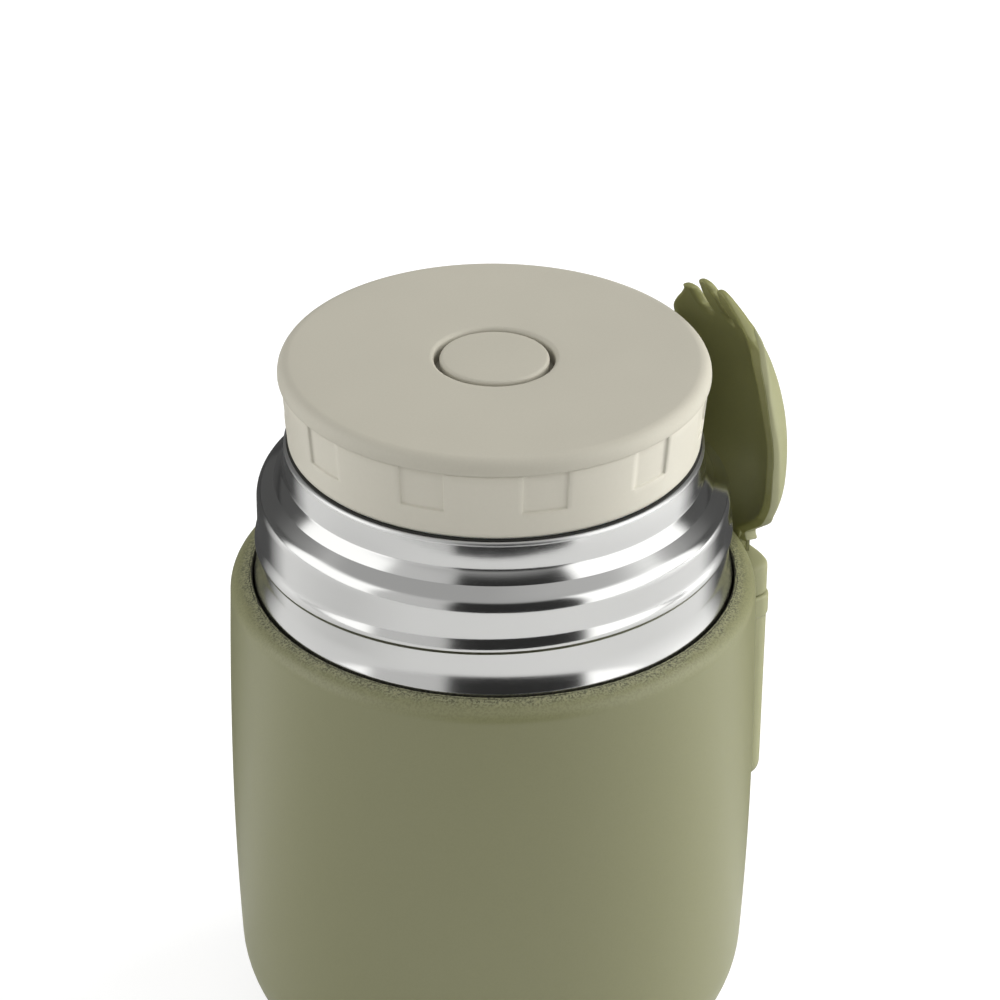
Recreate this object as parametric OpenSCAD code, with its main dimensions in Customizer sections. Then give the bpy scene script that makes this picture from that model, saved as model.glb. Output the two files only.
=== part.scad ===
// Insulated food jar: a double-walled steel body with a screw stopper, a vent button
// in the stopper, and a spork that stands in a pocket on the side of the body.
// Millimetres. The origin is the centre of the base, +Z is up, and the pocket is on +X.

/* [Body] */
// Widest diameter of the coated body
body_d = 98; // [96:1:110]
// Height of the widest place above the floor
widest_z = 56; // [50:1:60]
// Radius of the barrel's side curve above the widest place
barrel_upper_r = 1100; // [900:50:2000]
// Radius of the barrel's side curve below the widest place
barrel_lower_r = 750; // [600:50:1500]
// Radius of the rounding between the side and the base
base_round_r = 20; // [12:1:24]
// Height of the shoulder's inner edge above the floor
shoulder_z = 97.7; // [94:0.1:99]
// Rise of the shoulder from its outer edge to its inner edge
shoulder_rise = 0.8; // [0.2:0.1:1.5]
// Radius of the shoulder's outer rounding
shoulder_round_r = 3; // [1.5:0.5:4]
// Width of the shoulder, from the widest barrel in to the coating's edge
shoulder_w = 4.6; // [4:0.1:5]
// Depth of the collar turned down inside the shoulder's opening
collar_h = 3.2; // [2:0.2:5]
// Thickness of the outer steel wall with its coating
shell_wall = 0.6; // [0.4:0.1:1]
// Width of the flat ring that the jar stands on
base_rim_w = 4.1; // [3:0.1:8]

/* [Base cap] */
// Thickness of the base cap
base_cap_t = 0.6; // [0.4:0.1:1.2]
// Width of the base cap's rim that is welded onto the shell
base_weld_w = 2.5; // [1:0.5:3.5]
// Diameter of the hole through which the air was pumped out
evac_hole_d = 1.6; // [1:0.1:2.5]
// Diameter of the glass plug that seals the pumping hole
evac_plug_d = 5.2; // [4:0.2:8]
// Diameter of the getter pellet that keeps the vacuum clean
getter_d = 10; // [6:0.5:12]
// Height of the getter pellet
getter_h = 2; // [1:0.2:4]
// Distance of the getter pellet from the axis
getter_x = 13; // [10:0.5:16]

/* [Neck] */
// How far the neck's wall lies inside the coating's edge
neck_in = 1.3; // [1.1:0.1:2.5]
// How far the mouth's wall lies inside the neck's wall
mouth_in = 5.1; // [4:0.1:6]
// Height of the mouth's rim above the shoulder
neck_h = 27.3; // [26:0.1:31]
// Drop from the rim to the foot of the mouth's straight wall
mouth_wall_h = 5.2; // [4:0.2:6]
// Angle between the neck's slope and its straight walls
neck_slope_a = 50; // [40:1:60]
// Radius of the fillet at the top of the neck's slope
neck_fillet_r = 1.4; // [0.8:0.1:2]
// Radius of the rounding at the foot of the neck's slope
neck_round_r = 2; // [1:0.1:3]
// Thickness of the neck's steel wall
neck_wall = 0.6; // [0.4:0.1:1]
// Height of the bead's crest above the shoulder
bead_rise = 8.7; // [7:0.1:10]
// Height of the bead rolled round the neck
bead_h = 3.4; // [2:0.2:5]
// How far the bead stands out of the neck
bead_out = 0.35; // [0.2:0.05:0.8]
// Height of the flare at the neck's foot
flare_h = 3.6; // [2:0.2:5]

/* [Liner] */
// Width of the mouth's rim, from the mouth's wall in to the liner
rim_w = 2; // [1.8:0.1:3]
// Thickness of the liner's steel wall
liner_wall = 0.6; // [0.4:0.1:1]
// Height of the liner's floor above the base
liner_floor_z = 14; // [10:0.5:20]
// Radius of the rounding round the liner's floor
liner_round_r = 8; // [4:0.5:12]
// Height of the rolled rim
rim_h = 0.8; // [0.6:0.1:1.2]
// Radial gap between the liner and the reflecting foil
foil_gap = 0.3; // [0.2:0.1:0.8]
// Thickness of the reflecting foil with its folds
foil_t = 0.3; // [0.2:0.1:0.5]

/* [Thread] */
// Rise of the stopper in one full turn
thread_lead = 12; // [9:0.5:15]
// Number of thread starts
thread_starts = 3; // [2:1:3]
// Angle that each thread ridge covers
thread_arc = 80; // [50:5:90]
// Height of a thread ridge at its root
ridge_root_h = 1.5; // [1:0.1:1.8]
// Height of a thread ridge at its crest
ridge_crest_h = 0.9; // [0.6:0.1:1.2]
// How far the plug's ridge stands out
plug_ridge = 1.9; // [1.4:0.1:2.1]
// How far the liner's ridge stands in
liner_ridge = 1.4; // [1:0.1:1.8]

/* [Stopper] */
// How far the stopper's top disc stands past the mouth's wall
top_out = 0.8; // [0.6:0.1:3]
// Thickness of the stopper's top disc
top_h = 3; // [2.6:0.1:4.5]
// Radius of the top disc's edge rounding
top_round_r = 2.5; // [1:0.1:2.5]
// How far the grip ring's top stands past the mouth's wall
ring_top_out = 0.4; // [0:0.1:0.6]
// How far the grip ring's foot lies inside the mouth's wall
ring_foot_in = 0.8; // [0:0.1:1]
// Height of the grip ring
ring_h = 13; // [12:0.5:18]
// Thickness of the grip ring's wall at its foot
ring_wall = 1.2; // [1:0.1:1.7]
// Thickness of the grip ring's floor
ring_floor_t = 2; // [1.5:0.1:3]
// Gap between the grip ring and the mouth's rim
lid_gap = 0.3; // [0.25:0.05:0.6]
// Depth of the plug below the grip ring
plug_depth = 14; // [12:0.5:18]
// Gap between the plug's wall and the liner
plug_gap = 2.6; // [2.5:0.1:3]
// Thickness of the plug's wall and floor
plug_wall = 1.6; // [1:0.1:2]
// Height of the gasket round the top of the plug
gasket_h = 1.9; // [1:0.1:2.4]
// Gap that the gasket leaves above the rim before it is pressed
gasket_gap = 0.05; // [0.03:0.01:0.1]

/* [Grip panels] */
// Number of panels round the grip ring
panel_count = 11; // [7:1:14]
// Angle that one panel covers
panel_arc = 12; // [8:1:18]
// Height of a panel
panel_h = 7.8; // [4:0.2:9]
// Depth of a panel
panel_depth = 0.45; // [0.2:0.05:0.9]
// Angle of the first panel from +X
panel_first = -109.3; // [-120:0.1:-90]

/* [Vent button] */
// Diameter of the button
button_d = 19.7; // [17:0.1:20.5]
// Gap round the button in the top disc
button_gap = 1; // [0.6:0.1:1.4]
// Width of the soft dish round the button's hole
dish_w = 0.9; // [0.4:0.1:1.4]
// Thickness of the button's face
button_t = 2; // [1.4:0.1:2.6]
// Height of the button's dome above the top disc
button_rise = 0.2; // [0.1:0.05:0.6]
// Thickness of the button's skirt
skirt_t = 1.25; // [0.8:0.05:1.6]
// Width of the flange that keeps the button under the top disc
stop_w = 1.6; // [1.4:0.1:1.9]
// Thickness of that flange
stop_t = 1.2; // [0.8:0.1:1.6]
// Travel of the button
button_travel = 3; // [2:0.5:3.5]
// Diameter of the valve stem
stem_d = 4; // [3:0.2:4.4]
// Gap round the stem in its guide and in the vent hole
stem_gap = 0.4; // [0.3:0.05:0.6]
// Thickness of the guide sleeve's wall
sleeve_wall = 2.6; // [1.5:0.1:3]
// Depth of the button well below the grip ring's top
well_h = 8.3; // [7.8:0.1:9]
// Wall thickness of the button well
well_wall = 1.2; // [0.8:0.1:1.6]
// Diameter of the valve's seal under the plug
seal_d = 10; // [8:0.5:14]
// Thickness of the valve's seal
seal_t = 1.8; // [1:0.1:2.5]
// Diameter of the clip under the seal
clip_d = 7.2; // [6:0.2:7.8]
// Thickness of the clip
clip_t = 1; // [0.6:0.1:1.4]
// Mean diameter of the return spring
spring_d = 10; // [8:0.5:13]
// Wire diameter of the return spring
spring_wire = 0.9; // [0.6:0.1:1]
// Number of turns of the return spring
spring_turns = 4; // [3:0.5:5]

/* [Pocket] */
// Width of the pocket
pocket_w = 24; // [22:0.5:30]
// Drop from the shoulder to the pocket's mouth
pocket_drop = 17.7; // [16:0.1:24]
// Height of the pocket
pocket_h = 43; // [38:0.5:44]
// How far the pocket stands out of the body at the widest place
pocket_out = 6.9; // [6.2:0.1:9]
// Radius of the pocket's lower corners
pocket_corner_r = 5; // [3:0.5:8]
// Radius of the pocket's outer edges
pocket_edge_r = 3; // [1.5:0.5:3.5]
// Thickness of the pocket's outer wall
pocket_wall = 1.4; // [1:0.1:1.6]
// Thickness of the bonding pad behind the pocket
pad_t = 0.6; // [0.4:0.1:0.8]
// How far the pocket stands past the pad all round
pad_inset = 1.2; // [0.5:0.1:2]
// Height of the bead round the pocket's mouth
lip_h = 4.5; // [3:0.5:6]
// How far that bead stands out
lip_out = 0.3; // [0.2:0.1:1]

/* [Spork] */
// Width of the spork's tongue inside the pocket
tongue_w = 16; // [12:0.5:17]
// Thickness of the tongue
tongue_t = 2.4; // [1.8:0.1:2.6]
// Length of the tongue below the pocket's mouth
tongue_l = 39; // [30:0.5:40]
// Gap round the tongue in the pocket
tongue_gap = 0.2; // [0.1:0.05:0.3]
// Height of the collar that rests on the pocket
head_h = 9; // [7:0.5:11]
// Share of the collar's height below its sloping shoulders
head_straight_share = 0.7; // [0.5:0.05:0.8]
// Gap between the collar and the pocket's mouth
head_gap = 0.3; // [0.2:0.05:0.5]
// Width of the spork's neck
spork_neck_w = 13; // [10:0.5:16]
// Thickness of the spork's neck
spork_neck_t = 3.3; // [2.6:0.1:3.6]
// Width of the bowl
bowl_w = 39; // [34:0.2:42]
// Height of the bowl's deepest place above the pocket's mouth
bowl_rise = 32; // [31:0.2:36]
// Length of the bowl below its deepest place
bowl_foot_l = 20; // [19:0.2:23]
// Length of the palm above the bowl's deepest place
bowl_top_l = 23.2; // [20:0.2:24]
// Radius of the bowl's side outline
bowl_side_r = 30; // [27:0.5:38]
// Radius of the bowl's lower outline
bowl_foot_r = 23.5; // [22:0.5:28]
// Distance of the bowl's deepest place from the widest barrel
bowl_out = 8.4; // [7.5:0.1:10]
// Radius of the bowl's curve across its width
bowl_across_r = 21.5; // [21:0.5:30]
// Radius of the bowl's curve along its length, above its deepest place
bowl_upper_r = 48; // [44:0.5:60]
// Radius of that curve below the deepest place
bowl_lower_r = 34; // [30:0.5:44]
// Thickness of the spork's stiff core
core_t = 1.6; // [1.4:0.1:2.2]
// Thickness of the soft skin on its back
skin_t = 1.1; // [0.8:0.1:1.4]
// How far the skin stands past the core's edge
skin_step = 0.3; // [0.1:0.05:0.5]
// Length of the middle tine
tine_l = 9.4; // [8:0.1:12]
// How much shorter the outer tines are
tine_short = 1.6; // [0:0.1:4]
// How much the row of tips slants from the middle one to each side
tine_slant = 1.5; // [0:0.1:2]
// Width of a tine at its root
tine_root_w = 5.3; // [4.5:0.1:6.6]
// Width of a tine at its tip
tine_tip_w = 4; // [3:0.1:4.4]
// Gap between two tines at their roots
tine_gap = 1.3; // [1.2:0.1:2.4]
// Lean of the outer tines towards the middle one
tine_lean = 0.8; // [0:0.1:1.2]

/* [Hidden] */
$fn = 96;

cut = 1;              // overrun of cuts past a face
bond = 0.2;           // how far a ridge's root sinks into the wall that carries it
slip = 0.2;           // gap between pieces that are pushed together
seat = 0.05;          // gap between round faces that sit in each other
chamfer = 0.4;        // small broken edges
barrel_steps = 6;     // pieces of the side curve above and below the widest place
arc_steps = 8;        // pieces of a rounding
body_r = body_d / 2;
open_r = body_r - shoulder_w;
neck_r = open_r - neck_in;
mouth_r = neck_r - mouth_in;
liner_r = mouth_r - rim_w;
rim_z = shoulder_z + neck_h;
olive = "#7f8063";
pale_olive = "#8d8e70";
cream = "#cfcbbf";
steel = "#c9cacb";

// Points of an arc round (x, z) from angle a to angle b
function arc(x, z, r, a, b, n = arc_steps) =
    [for (i = [0:n]) let (t = a + (b - a) * i / n) [x + r * cos(t), z + r * sin(t)]];

function reversed(p) = [for (i = [len(p) - 1:-1:0]) p[i]];

// A path moved sideways to its left by t, with mitred corners
function unit(v) = v / norm(v);
function left(v) = [-v[1], v[0]];
function shifted(p, t) = [for (i = [0:len(p) - 1])
    let (a = left(unit(p[max(i, 1)] - p[max(i, 1) - 1])),
         j = min(i, len(p) - 2),
         b = left(unit(p[j + 1] - p[j])),
         m = unit(a + b))
    p[i] + m * t / (m * a)];

// Outline of a sheet of thickness t on the left of a path
function sheet(p, t) = concat(p, reversed(shifted(p, t)));

// Radius of the barrel at height z
function barrel_r(z) =
    body_r - (z - widest_z) ^ 2 / 2 / (z > widest_z ? barrel_upper_r : barrel_lower_r);

// Radius of the grip ring at a distance below its top
function ring_r(drop) = mouth_r + ring_top_out - (ring_top_out + ring_foot_in) * drop / ring_h;

function steps(a, b, n) = [for (i = [0:n]) a + (b - a) * i / n];

// Tube of radius r along points, closed at both ends, with its rings lying across
// the helix round Z
module coil(r, wire, z0, z1, turns, rings = 14, sides = 6) {
    n = ceil(turns * rings);
    pts = [for (i = [0:n], k = [0:sides - 1])
        let (a = 360 * turns * i / n, b = 360 * k / sides, d = r + wire / 2 * cos(b))
        [d * cos(a), d * sin(a), z0 + (z1 - z0) * i / n + wire / 2 * sin(b)]];
    wall = [for (i = [0:n - 1], k = [0:sides - 1])
        let (p = i * sides, q = (k + 1) % sides)
        [p + k, p + sides + k, p + sides + q, p + q]];
    ends = [[for (k = [0:sides - 1]) k], [for (k = [sides - 1:-1:0]) n * sides + k]];
    polyhedron(pts, concat(wall, ends));
}

// One thread ridge from radius r0 to the crest r1, starting at height z and angle a,
// rising by the thread's lead
module ridge(r0, r1, z, a, n = 16) {
    p = [for (i = [0:n], k = [0:3])
        let (t = a + thread_arc * i / n,
             r = k < 2 ? min(r0, r1) : max(r0, r1),
             h = (r == r0 ? ridge_root_h : ridge_crest_h) / 2,
             s = k == 0 || k == 3 ? -1 : 1)
        [r * cos(t), r * sin(t), z + thread_lead * thread_arc / 360 * i / n + s * h]];
    wall = [for (i = [0:n - 1], k = [0:3])
        let (m = 4 * i, q = (k + 1) % 4) [m + k, m + 4 + k, m + 4 + q, m + q]];
    ends = [[0, 1, 2, 3], [for (k = [3:-1:0]) 4 * n + k]];
    polyhedron(p, concat(wall, ends), convexity = 4);
}

// Everything inside the barrel's outer face grown by g
module barrel_solid(g) {
    z0 = base_round_r;
    z1 = shoulder_z;
    rotate_extrude()
        polygon(concat([[0, z0], [barrel_r(z0) + g, z0]],
                       [for (z = steps(z0, z1, 4 * barrel_steps)) [barrel_r(z) + g, z]],
                       [[0, z1]]));
}

// A flat outline drawn in (y, z) and pushed along X from x0 to x1
module across(x0, x1) {
    translate([x0, 0, 0])
        rotate([90, 0, 90])
            linear_extrude(x1 - x0)
                children();
}

// Heights and radii that several pieces share
ring_foot_z = rim_z + lid_gap;
ring_top_z = ring_foot_z + ring_h;
top_z = ring_top_z + top_h;
flange_z = ring_foot_z + ring_floor_t;
plug_z = ring_foot_z - plug_depth;
plug_floor_z = plug_z + plug_wall;
well_z = ring_top_z - well_h;
foot_r = mouth_r - ring_foot_in;
plug_r = liner_r - plug_gap;
bore_r = foot_r - ring_wall;
button_r = button_d / 2;
hole_r = button_r + button_gap;
well_r = button_r + stop_w + stem_gap;
well_out_r = well_r + well_wall;
stem_r = stem_d / 2;
guide_r = stem_r + stem_gap;
sleeve_r = guide_r + sleeve_wall;
button_z = top_z - button_t;
ridge_z = plug_z + plug_wall + ridge_root_h;
thread_pitch = thread_lead / thread_starts;
ridge_shift = thread_arc / 4;

// The steel body

base_a = -atan((widest_z - base_round_r) / barrel_lower_r);
base_z = base_round_r * (1 + sin(base_a));
base_x = barrel_r(base_z) - base_round_r * cos(base_a);
base_open_r = base_x - base_rim_w;

// The coated barrel from the base's opening up to the collar inside the shoulder
module outer_shell() {
    edge_x = barrel_r(shoulder_z - shoulder_round_r - shoulder_rise) - shoulder_round_r;
    rise_a = atan(shoulder_rise / (edge_x + shoulder_round_r / 2 - open_r));
    run = edge_x + shoulder_round_r * sin(rise_a) - open_r;
    edge_z = shoulder_z - run * tan(rise_a) - shoulder_round_r * cos(rise_a);
    outer = concat([[base_open_r, 0]],
                   arc(base_x, base_round_r, base_round_r, -90, base_a),
                   [for (z = steps(base_z, widest_z, barrel_steps)) if (z > base_z) [barrel_r(z), z]],
                   [for (z = steps(widest_z, edge_z, barrel_steps))
                       if (z > widest_z && z < edge_z) [barrel_r(z), z]],
                   arc(edge_x, edge_z, shoulder_round_r, 0, 90 - rise_a),
                   [[open_r, shoulder_z], [open_r, shoulder_z - collar_h]]);
    color(olive)
        rotate_extrude()
            polygon(sheet(outer, shell_wall));
}

// The bare neck: mouth wall, slope, threaded wall with its bead, flare and foot
module neck_ring() {
    turn = neck_fillet_r + neck_round_r;
    wall_z = rim_z - mouth_wall_h;
    slope = (neck_r - mouth_r - turn * (1 - cos(neck_slope_a))) / tan(neck_slope_a);
    neck_z = wall_z - turn * sin(neck_slope_a) - slope;
    bead_z = shoulder_z + bead_rise;
    flare_z = shoulder_z + flare_h;
    flare_r = open_r - slip;
    outer = concat([[mouth_r, rim_z - rim_h]],
                   arc(mouth_r + neck_fillet_r, wall_z, neck_fillet_r, 180, 180 + neck_slope_a),
                   arc(neck_r - neck_round_r, neck_z, neck_round_r, neck_slope_a, 0),
                   [for (t = steps(1, -1, arc_steps))
                       [neck_r + bead_out * (1 + cos(180 * t)) / 2, bead_z + t * bead_h / 2]],
                   [for (t = steps(0, 1, arc_steps))
                       [neck_r + (flare_r - neck_r) * t ^ 2, flare_z - (flare_h - slip) * t]],
                   [[flare_r, shoulder_z - collar_h]]);
    color(steel)
        rotate_extrude()
            polygon(sheet(outer, -neck_wall));
}

// The food space with its rolled rim and the ridges that the plug screws into
module inner_liner() {
    roll = rim_h - seat;
    inner = concat([[0, liner_floor_z]],
                   arc(liner_r - liner_round_r, liner_floor_z + liner_round_r, liner_round_r, -90, 0),
                   arc(liner_r + roll, rim_z - roll, roll, 180, 90),
                   arc(mouth_r - roll, rim_z - roll, roll, 90, 0),
                   [[mouth_r, rim_z - rim_h]]);
    color(steel) {
        rotate_extrude()
            polygon(sheet(inner, -liner_wall));
        for (k = [0:thread_starts - 1])
            ridge(liner_r + bond, liner_r - liner_ridge,
                  ridge_z + thread_pitch / 2 + thread_lead * ridge_shift / 360,
                  360 * k / thread_starts + ridge_shift);
    }
}

// Foil wrapped round the liner inside the vacuum
module reflector_foil() {
    r = liner_r + liner_wall + foil_gap;
    z0 = liner_floor_z + liner_round_r;
    color("#c98b5a")
        translate([0, 0, z0])
            difference() {
                cylinder(r = r + foil_t, h = shoulder_z - collar_h - z0);
                translate([0, 0, -cut])
                    cylinder(r = r, h = shoulder_z + cut);
            }
}

// Disc welded on the inside of the base, with the pumping hole
module base_cap() {
    color(steel)
        translate([0, 0, shell_wall])
            difference() {
                cylinder(r = base_open_r + base_weld_w, h = base_cap_t);
                translate([0, 0, -cut])
                    cylinder(d = evac_hole_d, h = base_cap_t + 2 * cut);
            }
}

// Glass plug melted over the pumping hole, above the plane of the base
module vacuum_plug() {
    hang_share = 0.75;
    color("#3c4a44") {
        translate([0, 0, shell_wall * (1 - hang_share)])
            cylinder(d = evac_plug_d, h = shell_wall * hang_share);
        translate([0, 0, shell_wall])
            cylinder(d = evac_hole_d - 2 * seat, h = base_cap_t);
    }
}

// Getter pellet on the base cap, inside the vacuum
module getter() {
    color("#8b8b88")
        translate([getter_x, 0, shell_wall + base_cap_t])
            cylinder(d = getter_d, h = getter_h);
}

// The pocket on the side
pocket_top = shoulder_z - pocket_drop;
pocket_z = pocket_top - pocket_h;
pocket_x = body_r + pocket_out;
slot_x1 = pocket_x - pocket_wall;
slot_x0 = slot_x1 - tongue_t - 2 * tongue_gap;

// Outline of the pocket in (y, z), drawn in by g
module pocket_outline(g) {
    r = pocket_corner_r - g / 2;
    w = pocket_w / 2 - g;
    translate([-w, pocket_z + g + r])
        square([2 * w, pocket_h - 2 * g - r]);
    translate([r - w, pocket_z + g])
        square([2 * (w - r), pocket_h - 2 * g]);
    for (s = [-1, 1])
        translate([s * (w - r), pocket_z + g + r])
            circle(r);
}

// A block from the body's axis out to x, with rounded outer edges, from z0 to z1
module round_block(x, w, r, z0, z1) {
    translate([0, 0, z0])
        linear_extrude(z1 - z0) {
            translate([0, -w / 2])
                square([x - r, w]);
            translate([0, r - w / 2])
                square([x, w - 2 * r]);
            for (s = [-1, 1])
                translate([x - r, s * (w / 2 - r)])
                    circle(r);
        }
}

// Sleeve that holds the spork's tongue, with a bead round its mouth
module spork_pocket() {
    color(olive)
        difference() {
            union() {
                intersection() {
                    round_block(pocket_x, pocket_w, pocket_edge_r, pocket_z, pocket_top);
                    across(0, pocket_x + cut)
                        pocket_outline(0);
                }
                round_block(pocket_x + lip_out, pocket_w + 2 * lip_out,
                            pocket_edge_r + lip_out, pocket_top - lip_h, pocket_top);
            }
            barrel_solid(pad_t);
            across(slot_x0, slot_x1)
                translate([-tongue_w / 2 - tongue_gap, pocket_top - tongue_l - cut])
                    square([tongue_w + 2 * tongue_gap, tongue_l + 2 * cut]);
        }
}

// Bonding pad between the pocket and the barrel
module pocket_pad() {
    color("#55553f")
        intersection() {
            difference() {
                barrel_solid(pad_t);
                barrel_solid(0);
            }
            across(0, pocket_x)
                pocket_outline(pad_inset);
        }
}

// The stopper

// Top disc with the button's hole and a spigot that snaps into the grip ring
module lid_top() {
    r = mouth_r + top_out;
    spigot_r = bore_r - slip;
    spigot_h = ring_floor_t;
    color(cream)
        rotate_extrude() {
            polygon(concat([[hole_r, ring_top_z], [r, ring_top_z]],
                           arc(r - top_round_r, top_z - top_round_r, top_round_r, 0, 90),
                           arc(hole_r + dish_w, top_z - dish_w, dish_w, 90, 180)));
            translate([spigot_r - well_wall, ring_top_z - spigot_h])
                square([well_wall, spigot_h]);
        }
}

// Grip ring with its panels and the floor that carries the plug
module lid_ring() {
    color(cream)
        difference() {
            rotate_extrude()
                polygon([[plug_r + slip, ring_foot_z], [foot_r - chamfer, ring_foot_z],
                         [foot_r, ring_foot_z + chamfer], [ring_r(0), ring_top_z],
                         [bore_r, ring_top_z], [bore_r, flange_z], [plug_r + slip, flange_z]]);
            for (k = [0:panel_count - 1])
                rotate([0, 0, panel_first + 360 * k / panel_count - panel_arc / 2])
                    rotate_extrude(angle = panel_arc)
                        polygon([[ring_r(panel_h) - panel_depth, ring_top_z - panel_h],
                                 [ring_r(0) + cut, ring_top_z - panel_h],
                                 [ring_r(0) + cut, ring_top_z + cut],
                                 [ring_r(0) - panel_depth, ring_top_z + cut],
                                 [ring_r(0) - panel_depth, ring_top_z]]);
        }
}

// Plug that hangs in the mouth, with the thread on its wall and the vent hole in its floor
module stopper_cup() {
    color("#d8d5cb") {
        rotate_extrude()
            polygon([[guide_r, plug_z], [plug_r - plug_wall, plug_z], [plug_r, plug_z + plug_wall],
                     [plug_r, flange_z], [bore_r - 2 * slip, flange_z],
                     [bore_r - 2 * slip, flange_z + plug_wall],
                     [plug_r - plug_wall, flange_z + plug_wall],
                     [plug_r - plug_wall, plug_floor_z], [guide_r, plug_floor_z]]);
        for (k = [0:thread_starts - 1])
            ridge(plug_r - bond, plug_r + plug_ridge, ridge_z, 360 * k / thread_starts);
    }
}

// Foam that fills the plug round the sleeve and the button well
module insulation_puck() {
    z0 = plug_floor_z;
    z1 = ring_top_z - slip;
    step_z = well_z - plug_wall - slip;
    color("#e8e2cf")
        rotate_extrude()
            polygon([[sleeve_r + slip, z0], [plug_r - plug_wall - slip, z0],
                     [plug_r - plug_wall - slip, z1], [well_out_r + slip, z1],
                     [well_out_r + slip, step_z], [sleeve_r + slip, step_z]]);
}

// Gasket round the top of the plug, with a lip over the rim
module mouth_gasket() {
    root_r = liner_r - lid_gap;
    lip_r = foot_r - lid_gap;
    color("#d9d9d4")
        rotate_extrude()
            polygon([[plug_r + seat, ring_foot_z - gasket_h], [root_r, ring_foot_z - gasket_h],
                     [root_r, rim_z + gasket_gap], [lip_r, rim_z + gasket_gap],
                     [lip_r, ring_foot_z], [plug_r + seat, ring_foot_z]]);
}

// Guide for the stem, opening into the well that the button moves in
module valve_sleeve() {
    color("#d8d5cb")
        rotate_extrude()
            polygon([[guide_r, plug_floor_z], [sleeve_r, plug_floor_z],
                     [sleeve_r, well_z - plug_wall], [well_out_r, well_z - plug_wall],
                     [well_out_r, ring_top_z], [well_r, ring_top_z], [well_r, well_z],
                     [guide_r, well_z]]);
}

// The vent button

// Button face with its skirt and the flange that stops it under the top disc
module button_cap() {
    stop_z = ring_top_z - slip - stop_t;
    edge = 2 * chamfer;
    skirt_r = button_r - skirt_t;
    color(cream)
        rotate_extrude()
            polygon(concat([[0, button_z], [skirt_r, button_z], [skirt_r, stop_z],
                            [button_r + stop_w, stop_z], [button_r + stop_w, stop_z + stop_t],
                            [button_r, stop_z + stop_t]],
                           arc(button_r - edge, top_z - edge, edge, 0, 90),
                           [[0, top_z + button_rise]]));
}

// Stem from the button down through the plug's floor
module valve_stem() {
    foot_z = plug_z - seat - seal_t - clip_t - chamfer;
    color("#b9b6aa")
        translate([0, 0, foot_z])
            cylinder(r = stem_r, h = button_z - foot_z);
}

// Soft seal that closes the vent hole from below
module valve_seal() {
    color("#e6e6e0")
        translate([0, 0, plug_z - seat - seal_t])
            difference() {
                cylinder(d = seal_d, h = seal_t);
                translate([0, 0, -cut])
                    cylinder(r = stem_r + seat, h = seal_t + 2 * cut);
            }
}

// Clip that holds the seal on the stem
module stem_clip() {
    color("#b9b6aa")
        translate([0, 0, plug_z - seat - seal_t - clip_t])
            difference() {
                cylinder(d = clip_d, h = clip_t);
                translate([0, 0, -cut])
                    cylinder(r = stem_r + seat, h = clip_t + 2 * cut);
            }
}

// Return spring between the well's floor and the button's face
module button_spring() {
    lift = spring_wire / 2 + seat;
    color(steel)
        coil(spring_d / 2, spring_wire, well_z + lift, button_z - lift, spring_turns);
}

// The spork

bowl_z = pocket_top + bowl_rise;
bowl_x = body_r + bowl_out;
head_z = pocket_top + head_gap;
tongue_x0 = slot_x0 + tongue_gap;
tongue_x1 = tongue_x0 + tongue_t;
neck_x1 = tongue_x1 + slip;
neck_top = bowl_z - bowl_foot_l + spork_neck_t;

// Solid wheel on the Y axis whose rim has the bowl's two curves, with the radius along
// the bowl's length, grown by g
module wheel(along, g) {
    hub = along - bowl_across_r;
    r = bowl_across_r + g;
    translate([bowl_x - along, 0, bowl_z])
        rotate([90, 0, 0])
            rotate_extrude() {
                translate([0, -r])
                    square([hub, 2 * r]);
                translate([hub, 0])
                    intersection() {
                        circle(r);
                        translate([0, -r])
                            square([r, 2 * r]);
                    }
            }
}

// Outline of the bowl without its tines, grown by g
module palm_outline(g) {
    top = bowl_z + bowl_top_l;
    intersection() {
        translate([bowl_side_r - bowl_w / 2, bowl_z])
            circle(bowl_side_r + g);
        translate([bowl_w / 2 - bowl_side_r, bowl_z])
            circle(bowl_side_r + g);
        translate([0, bowl_z + bowl_foot_r - bowl_foot_l])
            circle(bowl_foot_r + g);
        translate([-bowl_w, top - 2 * bowl_w])
            square([2 * bowl_w, 2 * bowl_w]);
    }
}

// Outline of one tine, with its middle at y0 at the root and at y1 at the tip
module tine_outline(y0, y1, l) {
    z0 = bowl_z + bowl_top_l;
    r = tine_tip_w / 2;
    w = tine_root_w / 2;
    polygon([[y0 - w, z0 - tine_root_w / 2], [y0 + w, z0 - tine_root_w / 2], [y0 + w, z0],
             [y1 + r, z0 + l - r], [y1 - r, z0 + l - r], [y0 - w, z0]]);
    translate([y1, z0 + l - r])
        circle(r);
}

// Layer between two grown wheels from height z0 to z1, cut to the outline of its children
module wheel_layer(along, g0, g1, z0, z1) {
    intersection() {
        difference() {
            wheel(along, g1);
            wheel(along, g0);
        }
        across(bowl_x - bowl_across_r, bowl_x + bowl_across_r)
            intersection() {
                union()
                    children();
                translate([-bowl_w, z0])
                    square([2 * bowl_w, z1 - z0]);
            }
    }
}

// The same layer over the whole bowl, whose curve changes at its deepest place
module bowl_layer(g0, g1) {
    wheel_layer(bowl_lower_r, g0, g1, bowl_z - bowl_w, bowl_z)
        children();
    wheel_layer(bowl_upper_r, g0, g1, bowl_z, bowl_z + bowl_w)
        children();
}

// Bar of width w between two heights and two depths
module bar(x0, x1, w, z0, z1) {
    translate([x0, -w / 2, z0])
        cube([x1 - x0, w, z1 - z0]);
}

module tines() {
    pitch = tine_root_w + tine_gap;
    for (k = [-1:1])
        tine_outline(k * pitch, k * (pitch - tine_lean),
                     tine_l - tine_short * abs(k) - tine_slant * k);
}

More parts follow.
